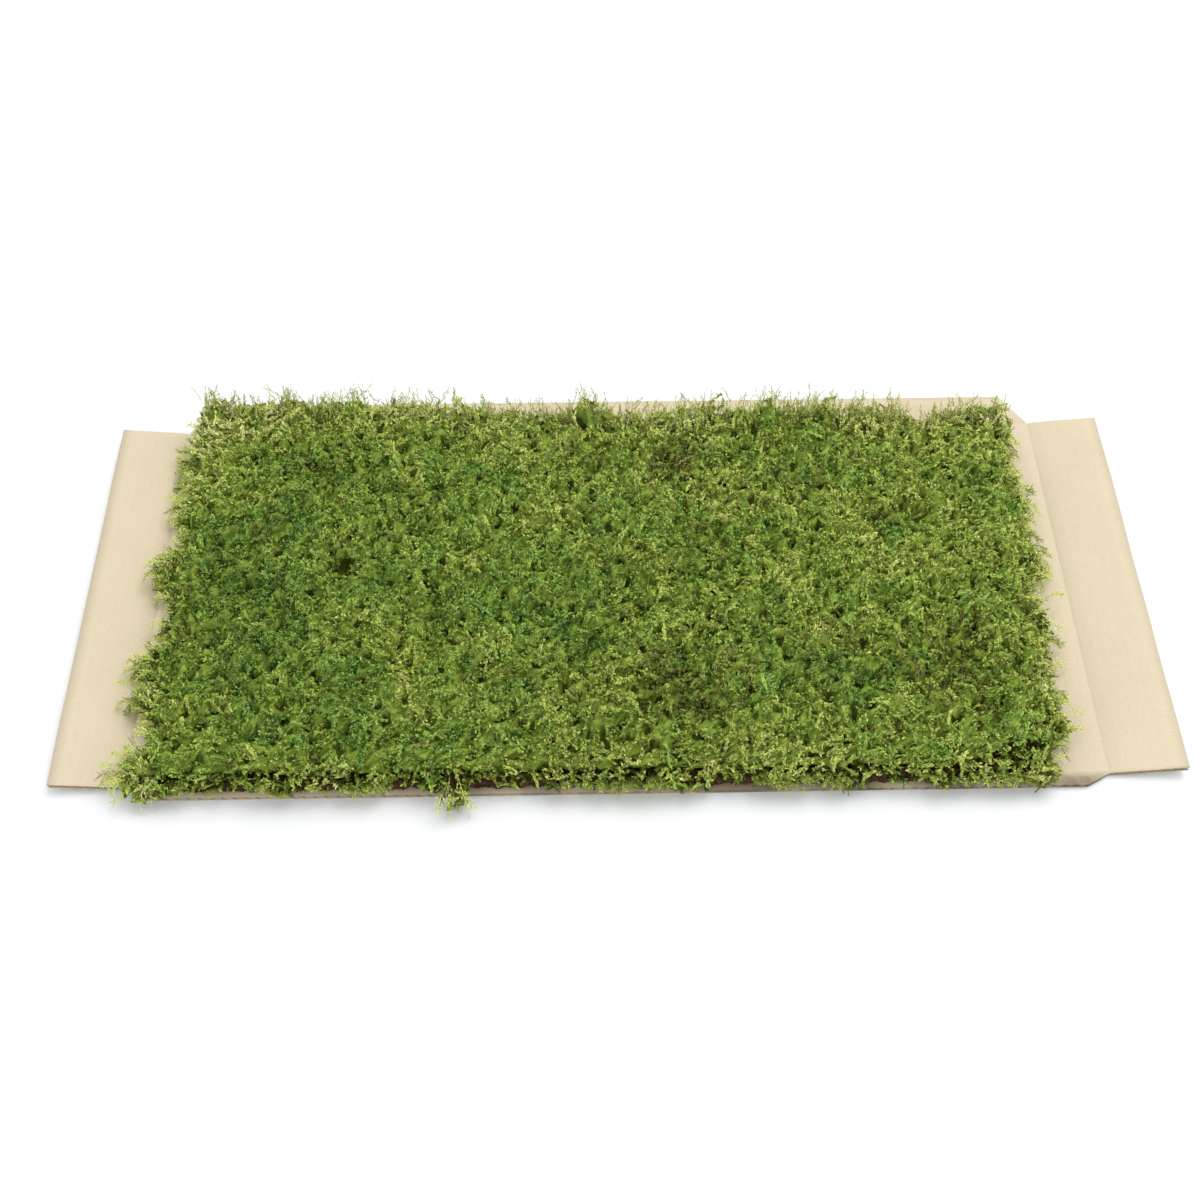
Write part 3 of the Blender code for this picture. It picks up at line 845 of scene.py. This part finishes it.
def rim_sprays():
    """Sprays round the rim: tip on it, growing out, and up or down with its height."""
    rng = np.random.default_rng(6)
    chance = ((rim_around - LOBE_BARE) / (0.5 - LOBE_BARE)).clip(0.05, 1)
    chance *= (turf.rim[:, 1] > FRONT_LIMIT) * (1 + 0.7 * mossy_front)
    pick = rng.choice(len(turf.rim), RIM_SPRAYS, p=chance / chance.sum())
    outward = turf.outward[pick]
    along = aside(outward)
    xy = turf.rim[pick] + along * rng.normal(0, 0.001, (RIM_SPRAYS, 1))
    front, back, left = (-outward[:, 1]).clip(0), outward[:, 1].clip(0), (-outward[:, 0]).clip(0)
    ends = np.abs(outward[:, 0])
    bare = bells(xy[:, 0], BARE_FRONT) * front
    share = rng.random(RIM_SPRAYS) ** (0.8 - 0.35 * front)
    low = RIM_LOW + (BARE_LOW - RIM_LOW) * bare
    z = low + (turf.rim_top[pick] + 0.002 - low) * share
    reach = rng.uniform(-0.004, 0.001, RIM_SPRAYS) - 0.002 * (1 - share) - RECESS * bare
    reach += FRONT_REACH * front * (1 - bare) + BACK_LOW_REACH * back * (1 - share)
    reach += left * (LEFT_REACH * (1 - share) + bells(xy[:, 1], LEFT_LOBES) * (1 - 0.6 * share))
    reach += ends * rng.gamma(1.5, 0.0012, RIM_SPRAYS).clip(0, 0.006)
    xy = xy + outward * reach[:, None]
    sideways = along * rng.normal(0, 0.5, (RIM_SPRAYS, 1))
    lift = -0.45 + 1.3 * share - 0.5 * front * (1 - share) + 0.4 * bare
    grow = at_height(outward + sideways, lift + rng.normal(0, 0.25, RIM_SPRAYS))
    size = rng.uniform(0.65, 1.05, RIM_SPRAYS)
    hue = (rng.normal(0.74, 0.08, RIM_SPRAYS) + 0.08 * ends).clip(0.45, 0.96)
    hue = with_some(hue, 0.08 + 0.12 * (1 - share), 0.12, 0.27, rng)
    hue = with_some(hue, patches(*xy.T, BROWN_PATCHES), 0.02, 0.14, rng)
    # painted light and shade: higher sprays a little lighter, those at the front a little darker
    light = (0.95 + 0.06 * share - 0.02 * front) * rng.uniform(0.9, 1.1, RIM_SPRAYS)
    return plant("spray", at_height(xy, z), grow, size, hue, light, 0.5, rng)


add_shoots("moss_rim", rim_sprays())

# %% Skirt
SKIRT_SHOOTS = 1650
SKIRT_LOW = 0.0090  # the lowest tips


def skirt():
    """Cushion shoots on all the walls, most at the back, at every height, growing every way."""
    rng = np.random.default_rng(15)
    chance = (1.3 + turf.outward[:, 1] + 0.6 * mossy_front) * (rim_around > LOBE_BARE)
    pick = rng.choice(len(turf.rim), SKIRT_SHOOTS, p=chance / chance.sum())
    outward = turf.outward[pick]
    share = rng.random(SKIRT_SHOOTS)
    z = SKIRT_LOW + (turf.rim_top[pick] - 0.003 - SKIRT_LOW) * share
    reach = rng.uniform(-0.003, 0.001, SKIRT_SHOOTS) - 0.001 * (1 - share)
    level = rng.uniform(0.5, 1.0, (SKIRT_SHOOTS, 1)) * outward
    level = level + rng.normal(0, 0.6, (SKIRT_SHOOTS, 1)) * aside(outward)
    grow = at_height(level, rng.normal(-0.1, 0.7, SKIRT_SHOOTS))
    size = rng.uniform(0.8, 1.15, SKIRT_SHOOTS)
    hue = rng.normal(0.64, 0.08, SKIRT_SHOOTS).clip(0.40, 0.90)
    hue = with_some(hue, 0.30 - 0.25 * share, 0.06, 0.27, rng)
    # painted shade: the skirt is darker than the crown, and darker the lower it stands
    light = rng.uniform(0.80, 1.00, SKIRT_SHOOTS) * (0.85 + 0.15 * share)
    tips = at_height(turf.rim[pick] + outward * reach[:, None], z)
    return plant("cushion", tips, grow, size, hue, light, 0.8, rng)


add_shoots("moss_skirt", skirt())

# %% [markdown]
# ## Sprouts and sprigs
#
# Thin pale sprouts stand up along the back edge, where they show against the white. A few sprigs
# have come loose and hang down over the card, in front and at the ends. Most of both are planted by
# a rule, with a short table for the tallest sprouts and one for the sprigs that stand out.

# %% Sprouts along the back
SMALL_SPROUTS = 800
SPROUT_HIGH = 0.0600  # no sprout is higher
# The tallest sprouts: place along the back, height over the rim
TALL_SPROUTS = (
    (-0.312, 0.010), (-0.305, 0.013), (-0.246, 0.012), (-0.240, 0.014), (-0.192, 0.014),
    (-0.184, 0.015), (-0.166, 0.011), (-0.146, 0.010), (-0.114, 0.012), (-0.104, 0.009),
    (-0.018, 0.015), (0.024, 0.011), (0.086, 0.014), (0.093, 0.016), (0.107, 0.012),
    (0.124, 0.013), (0.130, 0.011), (0.152, 0.016), (0.158, 0.017), (0.198, 0.012),
    (0.210, 0.010), (0.236, 0.013), (0.254, 0.012), (0.268, 0.014), (0.280, 0.015),
)


def back_sprouts():
    """Thin shoots on the back rim: upright, leaning a little out and to either side."""
    rng = np.random.default_rng(7)
    back = np.flatnonzero(turf.outward[:, 1] > 0.7)
    rim_x, rim_y = turf.rim[back[np.argsort(turf.rim[back, 0])]].T
    tall_x, tall_over = np.array(TALL_SPROUTS).T
    x = np.concatenate([tall_x, rng.uniform(rim_x[0], rim_x[-1], SMALL_SPROUTS)])
    over = np.concatenate([tall_over, rng.gamma(2.0, 0.0042, SMALL_SPROUTS).clip(0, 0.013)])
    count = len(x)
    y = np.interp(x, rim_x, rim_y) - rng.uniform(0.001, 0.012, count)
    lean = rng.normal(0, 0.30, count).clip(-0.7, 0.7)
    grow = np.stack([lean, rng.uniform(0.0, 0.7, count), np.ones(count)], -1)
    tips = np.stack([x + lean * over, y + 0.4 * over, turf.height(x, y) + over], -1)
    tips[:, 2] = tips[:, 2].clip(None, SPROUT_HIGH)
    ranges = ((0.7, 1.0), (0.72, 1.00), (0.98, 1.18))
    size, hue, light = (rng.uniform(low, high, count) for low, high in ranges)
    return plant("sprout", tips, grow, size, hue, light, 1.5, rng)


# %% Hanging sprigs
LOOSE_SPRIGS = 120
# Sprigs that hang free: foot, tip, how far the path bows upwards, place on the hue scale
SPRIGS = (
    ((-0.109, -0.153, 0.020), (-0.1100, -0.1770, 0.0015), 0.007, 0.86),
    ((-0.104, -0.154, 0.022), (-0.0970, -0.1740, 0.0015), 0.008, 0.80),
    ((-0.112, -0.152, 0.018), (-0.1160, -0.1680, 0.0040), 0.005, 0.20),
    ((-0.303, -0.150, 0.018), (-0.3100, -0.1680, 0.0015), 0.007, 0.96),
    ((-0.300, -0.150, 0.018), (-0.3030, -0.1660, 0.0015), 0.006, 0.92),
    ((-0.309, -0.146, 0.018), (-0.3330, -0.1490, 0.0110), 0.004, 0.94),
    ((-0.308, -0.140, 0.020), (-0.3290, -0.1380, 0.0140), 0.004, 0.85),
    ((-0.306, -0.092, 0.020), (-0.3360, -0.0900, 0.0110), 0.004, 0.27),
    ((-0.306, -0.066, 0.022), (-0.3370, -0.0600, 0.0120), 0.005, 0.80),
    ((-0.306, 0.012, 0.024), (-0.3320, 0.0200, 0.0180), 0.004, 0.76),
    ((0.290, -0.128, 0.020), (0.3110, -0.1220, 0.0120), 0.005, 0.88),
    ((0.292, -0.116, 0.022), (0.3130, -0.1100, 0.0130), 0.004, 0.84),
    ((0.300, -0.024, 0.024), (0.3160, -0.0180, 0.0160), 0.004, 0.82),
    ((0.300, 0.010, 0.024), (0.3150, 0.0160, 0.0160), 0.004, 0.86),
)
SPRIG_LEAF = Leaf(0.0016, 0.00095, 0.00060, 0.55)


def loose_sprigs(rng):
    """Rows like the table's for sprigs all along the two ends, some of them straw."""
    ends = np.flatnonzero(np.abs(turf.outward[:, 0]) > 0.6)
    rows = []
    for k in rng.choice(ends, LOOSE_SPRIGS):
        out = turf.outward[k]
        way = out + rng.normal(0, 0.4) * aside(out)
        high = rng.uniform(0.012, 0.028)
        low = max(high - rng.uniform(0.0, 0.012), 0.006)
        tip = (*(turf.rim[k] + rng.uniform(0.005, 0.013) * way), low)
        straw = rng.uniform() < 0.25
        hue = rng.uniform(0.14, 0.27) if straw else rng.uniform(0.70, 0.97)
        rows.append(((*(turf.rim[k] - 0.004 * out), high), tip, rng.uniform(0.002, 0.005), hue))
    return rows


def sprigs():
    """Leaf ropes on bowed paths, each with short branches to its left and right."""
    rng = np.random.default_rng(9)
    share = np.linspace(0, 1, STEM_POINTS)[:, None]
    batches = []
    for foot, tip, bow, hue in [*SPRIGS, *loose_sprigs(rng)]:
        path = foot + np.subtract(tip, foot) * share
        path[:, 2] += bow * np.sin(math.pi * share[:, 0])
        parts = [leaf_rope(path, SPRIG_LEAF, (0.5, 0.95), rng)]
        for k in range(2, STEM_POINTS - 2):
            ahead = unit(path[k + 1] - path[k])
            side = unit(np.cross(ahead, (0, 0, 1)) * (-1) ** k + 0.3 * rng.normal(size=3))
            branch = arc(path[k], ahead, side, rng.uniform(0.003, 0.006), 0.9, 0.4)
            branch[:, 2] = branch[:, 2].clip(0.001)
            parts.append(leaf_rope(branch, SPRIG_LEAF, (0.5, 0.9), rng))
        corners, normals, light = joined(parts)
        across = hue + rng.uniform(-0.02, 0.02, (len(corners), 1))
        batches.append((corners, normals, on_map(across, light)))
    return batches


add_shoots("moss_sprouts", back_sprouts(), *sprigs())

# %% [markdown]
# ## The bed under the shoots
#
# Between the shoots one looks at the ones below, never through the turf. The bed stands for that
# lower mass: a closed mound just inside the turf's own outline, whose top is the turf's height,
# lowered and crumpled. Its triangles are about as big as leaves and take their colour from the
# leaves' own two scales, kept dark with painted shade.

# %% Outline of a node from above
def corners_of(node):
    """A node's four corners seen from above: its furthest points along the diagonals."""
    plan = node_mesh(node)[0][:, :2]
    return {
        (sx, sy): plan[(plan * (sx, sy)).sum(1).argmax()] for sx in (-1, 1) for sy in (-1, 1)
    }


thatch_corners = corners_of("brown_thatch")
print("thatch corners, mm:", {k: (p * 1000).round().tolist() for k, p in thatch_corners.items()})

# %% Bed
BED_DEPTH = 0.0045
BED_INSET = 0.0030  # of its sides inside those of the turf, at their top
BED_CELLS = (200, 98)
WALL_ROWS = 11
WALL_DRAWN_IN = 0.0050  # how much further inside the foot of a side is
CRUMPLE = 0.0007


def mound(plan, top, floor, rng):
    """A closed mound: a grid, crumpled walls down to the floor and a fan to a pole.

    The way in at a wall's point is square to the way from the fifth point before it to the
    fifth point after it. The wall is drawn in by the square of the share of the way down.
    """
    number, corners = grid_numbers(*top.shape)
    quads = np.stack(corners, -1).reshape(-1, 4)
    ring = np.concatenate([number[:-1, 0], number[-1, :-1], number[:0:-1, -1], number[0, :0:-1]])
    points = at_height(plan, top).reshape(-1, 3)
    rim = points[ring]
    inward = aside(unit(np.roll(rim[:, :2], -5, axis=0) - np.roll(rim[:, :2], 5, axis=0)))
    down = np.linspace(0, 1, WALL_ROWS + 1)[1:, None, None]
    walls = rim + WALL_DRAWN_IN * down**2 * at_height(inward, np.zeros(len(ring)))
    walls = walls + rng.uniform(-CRUMPLE, CRUMPLE, walls.shape)
    walls[..., 2] = rim[:, 2] + (floor - rim[:, 2]) * down[..., 0]
    lower = top.size + np.arange(WALL_ROWS * len(ring)).reshape(WALL_ROWS, -1)
    sides = band(lower, np.concatenate([ring[None], lower[:-1]]))
    points = np.concatenate([points, walls.reshape(-1, 3), [walls[-1].mean(0)]])
    under = fan(lower[-1], len(points) - 1)
    return points, np.concatenate([as_triangles(quads), as_triangles(sides), under])


def bed():
    """The turf's height less the bed's depth, the gaps and a noise, crumpled point by point.

    Each triangle has a hue and a light of its own, browner low down on the walls, so that it looks
    like one of the many leaves there. The light is low everywhere and lower in the gaps and
    hollows: painted shade.
    """
    rng = np.random.default_rng(8)
    u, v = np.meshgrid(*(np.linspace(0, 1, cells + 1) for cells in BED_CELLS), indexing="ij")
    front_left, back_left, front_right, back_right = thatch_corners.values()
    front, back = (
        a * (1 - u[..., None]) + b * u[..., None]
        for a, b in ((front_left, front_right), (back_left, back_right))
    )
    plan = front * (1 - v[..., None]) + back * v[..., None]
    rows, left, right = turf.edges(0)
    columns, front, back = turf.edges(1)
    front = np.maximum(front, front_left[1])
    x = np.interp(plan[..., 1], rows, left + BED_INSET) * (1 - u)
    x += np.interp(plan[..., 1], rows, right - BED_INSET) * u
    y = np.interp(plan[..., 0], columns, front + BED_INSET) * (1 - v)
    y += np.interp(plan[..., 0], columns, back - BED_INSET) * v
    plan = np.stack([x, y], -1) + rng.uniform(-CRUMPLE, CRUMPLE, plan.shape)
    x, y = plan.reshape(-1, 2).T
    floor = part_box("brown_thatch")[1].z + 0.0005
    gap = (gaps(x, y) + patches(x, y, HOLLOWS)).clip(0, 1)
    rough = 0.0010 * soft_noise(x, y, 0.012, rng) + rng.normal(0, 0.0007, len(x))
    top = (turf.height(x, y) - BED_DEPTH - GAP_DEPTH * gap + rough).clip(floor + 0.001)
    points, triangles = mound(plan, top.reshape(u.shape), floor, rng)
    x, y, z = points[triangles].mean(1).T
    deep = turf.height(x, y) - z - BED_DEPTH
    old = rng.random(len(x)) < ((deep - 0.010) / 0.020).clip(0, 0.8)
    hue = np.where(old, rng.uniform(0.02, 0.24, len(x)), rng.normal(0.52, 0.08, len(x)))
    # painted shade of the lower mass, darker still in the gaps and hollows
    light = rng.uniform(0.14, 0.39, len(x))
    light *= 1 - (0.8 * gaps(x, y) + patches(x, y, HOLLOWS)).clip(0, 1)
    coords = on_map(hue[:, None], light[:, None] + np.array([0, 0, 0.02]))
    add_piece("moss_bed", "green_moss", leaves, points, triangles, coords)


bed()

# %% [markdown]
# ## The thatch
#
# Under the green is a brown layer of dead stems and humus, which shows along the front. It is
# a felt, so it is made in two parts: a solid mass whose cut side is crumbly, and strands that
# stick out of it. The mass is a profile of heights carried round the thatch's outline, pushed
# in and out by a noise.

# %% Thatch mass
THATCH_STEP = 0.0016  # between points along the outline
THATCH_ROWS = 9
THATCH_INSET = 0.0010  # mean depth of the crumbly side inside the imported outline
THATCH_PROUD = 0.0030  # how much further out it comes along the front
HUMUS = (  # place on a noise, and colour
    (0.30, (0.016, 0.008, 0.003)),
    (0.50, (0.050, 0.027, 0.011)),
    (0.64, (0.105, 0.060, 0.026)),
    (0.78, (0.180, 0.115, 0.050)),
)


def walk_round(corners, step):
    """Points at even steps round a four-cornered outline, and the way out at each."""
    order = [(-1, -1), (1, -1), (1, 1), (-1, 1), (-1, -1)]
    places, ways = [], []
    for start, end in zip(order, order[1:]):
        a, b = corners[start], corners[end]
        count = int(np.linalg.norm(b - a) / step)
        places.append(a + (b - a) * (np.arange(count) / count)[:, None])
        ways.append(np.tile(-aside(unit(b - a)), (count, 1)))
    return np.concatenate(places), np.concatenate(ways)


def thatch_material():
    """Dark humus with lighter crumbs."""
    material, tree, inputs = new_material("thatch humus", roughness=0.95, specular=0.1)
    tree.links.new(ramp(tree, noise(tree, 520, 4), HUMUS), inputs["Base Color"])
    return material


def thatch_mass():
    """Rows of the walk at rising heights, each pushed in by a noise of place and height.

    The lowest and highest row close to a pole in the middle of the sheet.
    """
    rng = np.random.default_rng(12)
    outline, outward = walk_round(thatch_corners, THATCH_STEP)
    low, high = (corner.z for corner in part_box("brown_thatch"))
    rise = np.linspace(0, 1, THATCH_ROWS)[:, None]
    along = np.arange(len(outline)) * THATCH_STEP
    fine = soft_noise(along, rise * 0.02, 0.006, rng)
    broad = soft_noise(along, rise * 0.03, 0.02, rng)
    proud = THATCH_PROUD * (outward[:, 1] < -0.5)
    inset = THATCH_INSET + 0.0007 * (fine + 0.7 * broad) + 0.001 * (2 * rise - 1) ** 4 - proud
    rows = outline[None] - outward[None] * inset[..., None]
    points = at_height(rows, np.broadcast_to(low + (high - low) * rise, inset.shape))
    middle = outline.mean(0)
    points = np.concatenate([points.reshape(-1, 3), [[*middle, low], [*middle, high]]])
    number = np.arange(inset.size).reshape(inset.shape)
    under = fan(number[0], inset.size)
    over = fan(number[-1], inset.size + 1)[:, [1, 0, 2]]
    triangles = np.concatenate([as_triangles(band(number[:-1], number[1:])), under, over])
    add_piece("thatch_mass", "brown_thatch", thatch_material(), points, triangles)


thatch_mass()

# %% [markdown]
# ## Strands in the thatch
#
# The strands are dead stems, roots and bits of straw. Each is a bent, tapered three-sided
# tube. They stick out of the side in every direction, and most of them droop on to the card.

# %% Strands
STRANDS = 1900
STRAND_TAPER = np.array([1.0, 1.0, 0.8, 0.25])  # at its four points
STRAND_HUES = (
    (0.0, (0.018, 0.009, 0.004)),
    (0.5, (0.070, 0.036, 0.015)),
    (0.8, (0.200, 0.125, 0.055)),
    (1.0, (0.480, 0.400, 0.220)),
)
STRAND_LIGHT = ((0.0, 0.7), (1.0, 1.15))

strand_material = two_scale_material("strands", STRAND_HUES, STRAND_LIGHT)


def tubes(paths, radius):
    """Closed three-sided tubes on paths (n, k, 3), of radius (n, k).

    Returns points (n*k*3, 3) and triangles (n, t, 3).
    """
    n, k, _ = paths.shape
    ahead = unit(np.gradient(paths, axis=1))
    side = unit(np.cross(ahead, (0.3, 0.2, 1.0)))
    up = np.cross(ahead, side)
    angle = np.arange(3) * 2 * math.pi / 3
    ring = np.cos(angle)[:, None] * side[:, :, None] + np.sin(angle)[:, None] * up[:, :, None]
    points = paths[:, :, None] + ring * radius[..., None, None]
    number = np.arange(k * 3).reshape(k, 3)
    wall = as_triangles(band(number[:-1], number[1:]))
    one = np.concatenate([wall, [number[0][::-1]], [number[-1]]])
    return points.reshape(-1, 3), one[None] + np.arange(n)[:, None, None] * k * 3


def thatch_strands():
    """Strands from the side: out and along in every direction, drooping, on or over the card."""
    rng = np.random.default_rng(13)
    outline, outward = walk_round(thatch_corners, THATCH_STEP)
    low, high = (corner.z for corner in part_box("brown_thatch"))
    pick = rng.integers(0, len(outline), STRANDS)
    out = outward[pick]
    along = aside(out) * rng.normal(0, 1.3, (STRANDS, 1))
    level = unit(rng.uniform(0.2, 1.0, (STRANDS, 1)) * out + along)
    length = rng.uniform(0.003, 0.008, STRANDS)
    share = np.linspace(0, 1, len(STRAND_TAPER))
    curve = rng.normal(0, 0.4, STRANDS)
    run = length[:, None] * share
    xy = (outline[pick] - 0.003 * out)[:, None] + level[:, None] * run[..., None]
    xy = xy + aside(level)[:, None] * (curve[:, None] * run * share)[..., None]
    z = rng.uniform(low, high + 0.003, STRANDS)[:, None] + run * rng.normal(0, 0.3, (STRANDS, 1))
    z = (z - 0.5 * run * share).clip(low + 0.0003)
    radius = rng.uniform(0.00014, 0.00034, STRANDS)[:, None] * STRAND_TAPER
    points, triangles = tubes(at_height(xy, z), radius)
    hue = rng.beta(1.2, 2.4, STRANDS)[:, None, None]
    coords = on_map(hue, np.full(triangles.shape, (0.2, 0.2, 0.8)), spread=0.010)
    triangles = triangles.reshape(-1, 3)
    add_piece("thatch_strands", "brown_thatch", strand_material, points, triangles, coords)


thatch_strands()

# %% [markdown]
# ## The card blank
#
# Corrugated card is two flat liners with a wavy sheet, the flutes, glued between them. The
# packed blank is one plate. Here it is made as the three sheets it is, so that its cut edges
# show the wave. All three share one plan: a grid with lines at the panels' edges and creases,
# in which the cells at the four corners are left out, and the ends of the front and back flaps
# are cut at a slant.

# %% Plan of the blank
HALF_LENGTH, HALF_DEPTH = 0.323, 0.150  # of the base panel
BACK_MITRE = 0.018
FRONT_MITRE = 0.015
CREASE_HALF = 0.0015
CREASE_DEPTH = 0.0006
CREASE_STEP = 0.0005
LINER = 0.00038
FLUTE_PAPER = 0.00025
FLAP_RISE = 0.006

card_low, card_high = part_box("card_sheet")
CARD_THICK = card_high.z - FLAP_RISE


def lines(start, end, creases, step):
    """Grid lines from start to end: a step apart, but close together across the creases."""
    near = np.arange(-3, 3.5) * CREASE_STEP
    fixed = np.concatenate([[start, end], *(crease + near for crease in creases)])
    fixed = np.unique(fixed.round(6))
    parts = [
        np.linspace(a, b, max(int(round((b - a) / step)), 1), endpoint=False)
        for a, b in zip(fixed, fixed[1:])
    ]
    return np.concatenate([*parts, [end]])


def blank_plan(step_x, step_y):
    """The blank's grid (n, m, 2), and which of its cells are card."""
    x = lines(card_low.x, card_high.x, (-HALF_LENGTH, HALF_LENGTH), step_x)
    y = lines(card_low.y, card_high.y, (-HALF_DEPTH, HALF_DEPTH), step_y)
    gx, gy = np.meshgrid(x, y, indexing="ij")
    back = (gy - HALF_DEPTH).clip(0) / (card_high.y - HALF_DEPTH) * BACK_MITRE
    front = (-gy - HALF_DEPTH).clip(0) / (-card_low.y - HALF_DEPTH) * FRONT_MITRE
    plan = np.stack([gx * (1 - (back + front) / HALF_LENGTH), gy], -1)
    middle_x, middle_y = (x[1:] + x[:-1]) / 2, (y[1:] + y[:-1]) / 2
    return plan, (np.abs(middle_x)[:, None] < HALF_LENGTH) | (np.abs(middle_y) < HALF_DEPTH)


def blank_heights(plan):
    """The heights of the blank's underside and top: flaps sprung up, creases pressed in.

    An end flap rises in proportion to the distance past its crease, with a slight warp. A
    crease is a bell-shaped groove in the top.
    """
    x, y = plan[..., 0], plan[..., 1]
    past_x, past_y = np.abs(x) - HALF_LENGTH, np.abs(y) - HALF_DEPTH
    flap = np.where(x < 0, -card_low.x, card_high.x) - HALF_LENGTH
    past = (past_x / flap).clip(0)
    warp = 0.0003 * past * soft_noise(x, y, 0.11, np.random.default_rng(14))
    under = (FLAP_RISE * past + warp).clip(0)
    from_crease = np.minimum(np.hypot(past_x, past_y.clip(0)), np.hypot(past_y, past_x.clip(0)))
    groove = CREASE_DEPTH * np.exp(-((from_crease / CREASE_HALF) ** 2))
    return under, under + CARD_THICK - groove


# %% [markdown]
# ## Kraft paper
#
# The card is unbleached kraft: pale tan, matte, with fine fibres that lie mostly one way, a soft
# cloudiness, and faint stripes of painted shade where the flutes ripple the liner. Its front edge
# is darkened with soil and painted shade.

# %% Card materials
FLUTE_PITCH = 0.0075
KRAFT = (
    (0.25, (0.620, 0.525, 0.355)),
    (0.50, (0.660, 0.565, 0.395)),
    (0.80, (0.695, 0.605, 0.435)),
)
# Soil with painted shade on the front flap
SOIL_AND_SHADE = (0.200, 0.155, 0.100)
# How the soil and painted shade grow: an axis, where it begins and is full, and its share at the
# beginning
SOIL_AND_SHADE_RANGES = (("Y", -0.1480, -0.1530, 0.0), ("X", -0.25, 0.15, 0.25))


def soil_and_shade(tree, colour):
    """Mixes soil and painted shade into a colour on the front flap, more to the right, and by a
    broad noise.
    """
    split = add_node(tree, "SeparateXYZ", {"Vector": object_place(tree)})
    shares = []
    for axis, begins, full, share in SOIL_AND_SHADE_RANGES:
        inputs = {"Value": split[axis], "From Min": begins, "From Max": full, "To Min": share}
        shares.append(add_node(tree, "MapRange", inputs)["Result"])
    spots = ramp(tree, noise(tree, 40, 4), ((0.35, 0.25), (0.60, 0.95)))
    amount = multiply(tree, multiply(tree, *shares), spots)
    inputs = {"Factor": amount, "A": colour, "B": (*SOIL_AND_SHADE, 1)}
    return add_node(tree, "Mix", inputs, data_type="RGBA")["Result"]


def kraft_material(name, shade):
    """Fibres on a cloudy tan, times a faint stripe of painted shade at the flutes' pitch."""
    material, tree, inputs = new_material(name, roughness=0.85, specular=0.3)
    fibres = noise(tree, 1400, 2, stretch=(0.35, 1, 1))
    clouds = ramp(tree, noise(tree, 11, 3), ((0.3, 0.95 * shade), (0.7, 1.02 * shade)))
    pitch = {"Vector": object_place(tree), "Scale": math.pi / 10 / FLUTE_PITCH}
    # painted shade of the ripple that the flutes press into the liner
    flute_shade_stripes = ramp(tree, add_node(tree, "TexWave", pitch)["Fac"], ((0.0, 0.99), (1.0, 1.0)))
    colour = multiply(tree, multiply(tree, ramp(tree, fibres, KRAFT), clouds), flute_shade_stripes)
    tree.links.new(soil_and_shade(tree, colour), inputs["Base Color"])
    bump = {"Height": fibres, "Strength": 0.08, "Distance": 0.0002}
    tree.links.new(add_node(tree, "Bump", bump)["Normal"], inputs["Normal"])
    return material


kraft = kraft_material("kraft liner", 1.0)
flute_paper = kraft_material("flute paper", 0.8)


# %% Liners and flutes
def liners():
    """Two thin sheets: one hangs from the blank's top, one lies on its underside."""
    plan, cells = blank_plan(0.010, 0.010)
    under, top = blank_heights(plan)
    for name, high in (("card_top_liner", top), ("card_bottom_liner", under + LINER)):
        add_piece(name, "card_sheet", kraft, *closed_sheet(plan, high, high - LINER, cells))


def flutes():
    """A sheet that waves between the liners: a sine of x, as high as the gap leaves room."""
    half = FLUTE_PAPER / 2
    plan, cells = blank_plan(FLUTE_PITCH / 10, 0.030)
    under, top = blank_heights(plan)
    swing = (top - under) / 2 - LINER - half - 0.00002
    wave = (under + top) / 2 + swing * np.sin(2 * math.pi * plan[..., 0] / FLUTE_PITCH)
    sheet = closed_sheet(plan, wave + half, wave - half, cells)
    add_piece("card_flutes", "card_sheet", flute_paper, *sheet)


liners()
flutes()

# %% [markdown]
# ## Studio
#
# A wide pale floor, a soft sky all round and one large light from behind, which lets the front
# edge of the card throw a soft shadow towards the camera, as in the photograph.

# %% Floor and light
FLOOR_COLOUR = (0.855, 0.859, 0.870)
SKY_COLOUR = (0.97, 0.98, 1.0)
SKY_STRENGTH = 0.98
KEY_PLACE = (1.3, 1.3, 4.1)
KEY_SIZE = 2.6
KEY_POWER = 90


def add_floor():
    """A wide pale floor at the height that the card lies on."""
    mesh = bpy.data.meshes.new("floor")
    mesh.from_pydata([(-4, -4, 0), (4, -4, 0), (4, 4, 0), (-4, 4, 0)], [], [(0, 1, 2, 3)])
    material, _, inputs = new_material("floor", roughness=0.9, specular=0.1)
    inputs["Base Color"].default_value = (*FLOOR_COLOUR, 1)
    mesh.materials.append(material)
    floor = new_object("floor", mesh)


def add_key():
    """A large square light that faces the middle of the sheet."""
    data = bpy.data.lights.new("key", "AREA")
    data.shape = "SQUARE"
    data.size = KEY_SIZE
    data.energy = KEY_POWER
    light = new_object("key", data)
    light.location = KEY_PLACE
    light.rotation_euler = (-light.location).to_track_quat("-Z", "Y").to_euler()


def add_sky():
    """An even, barely blue sky."""
    world = bpy.data.worlds.new("studio")
    world.use_nodes = True
    background = world.node_tree.nodes["Background"]
    background.inputs["Color"].default_value = (*SKY_COLOUR, 1)
    background.inputs["Strength"].default_value = SKY_STRENGTH
    bpy.context.scene.world = world


add_floor()
add_key()
add_sky()
bpy.context.scene.view_settings.view_transform = "Standard"

# %% Size and finish
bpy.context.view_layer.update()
total = sum(len(o.data.polygons) for o in bpy.data.objects if o.name.startswith(("moss", "thatch")))
print("moss and thatch triangles:", total)
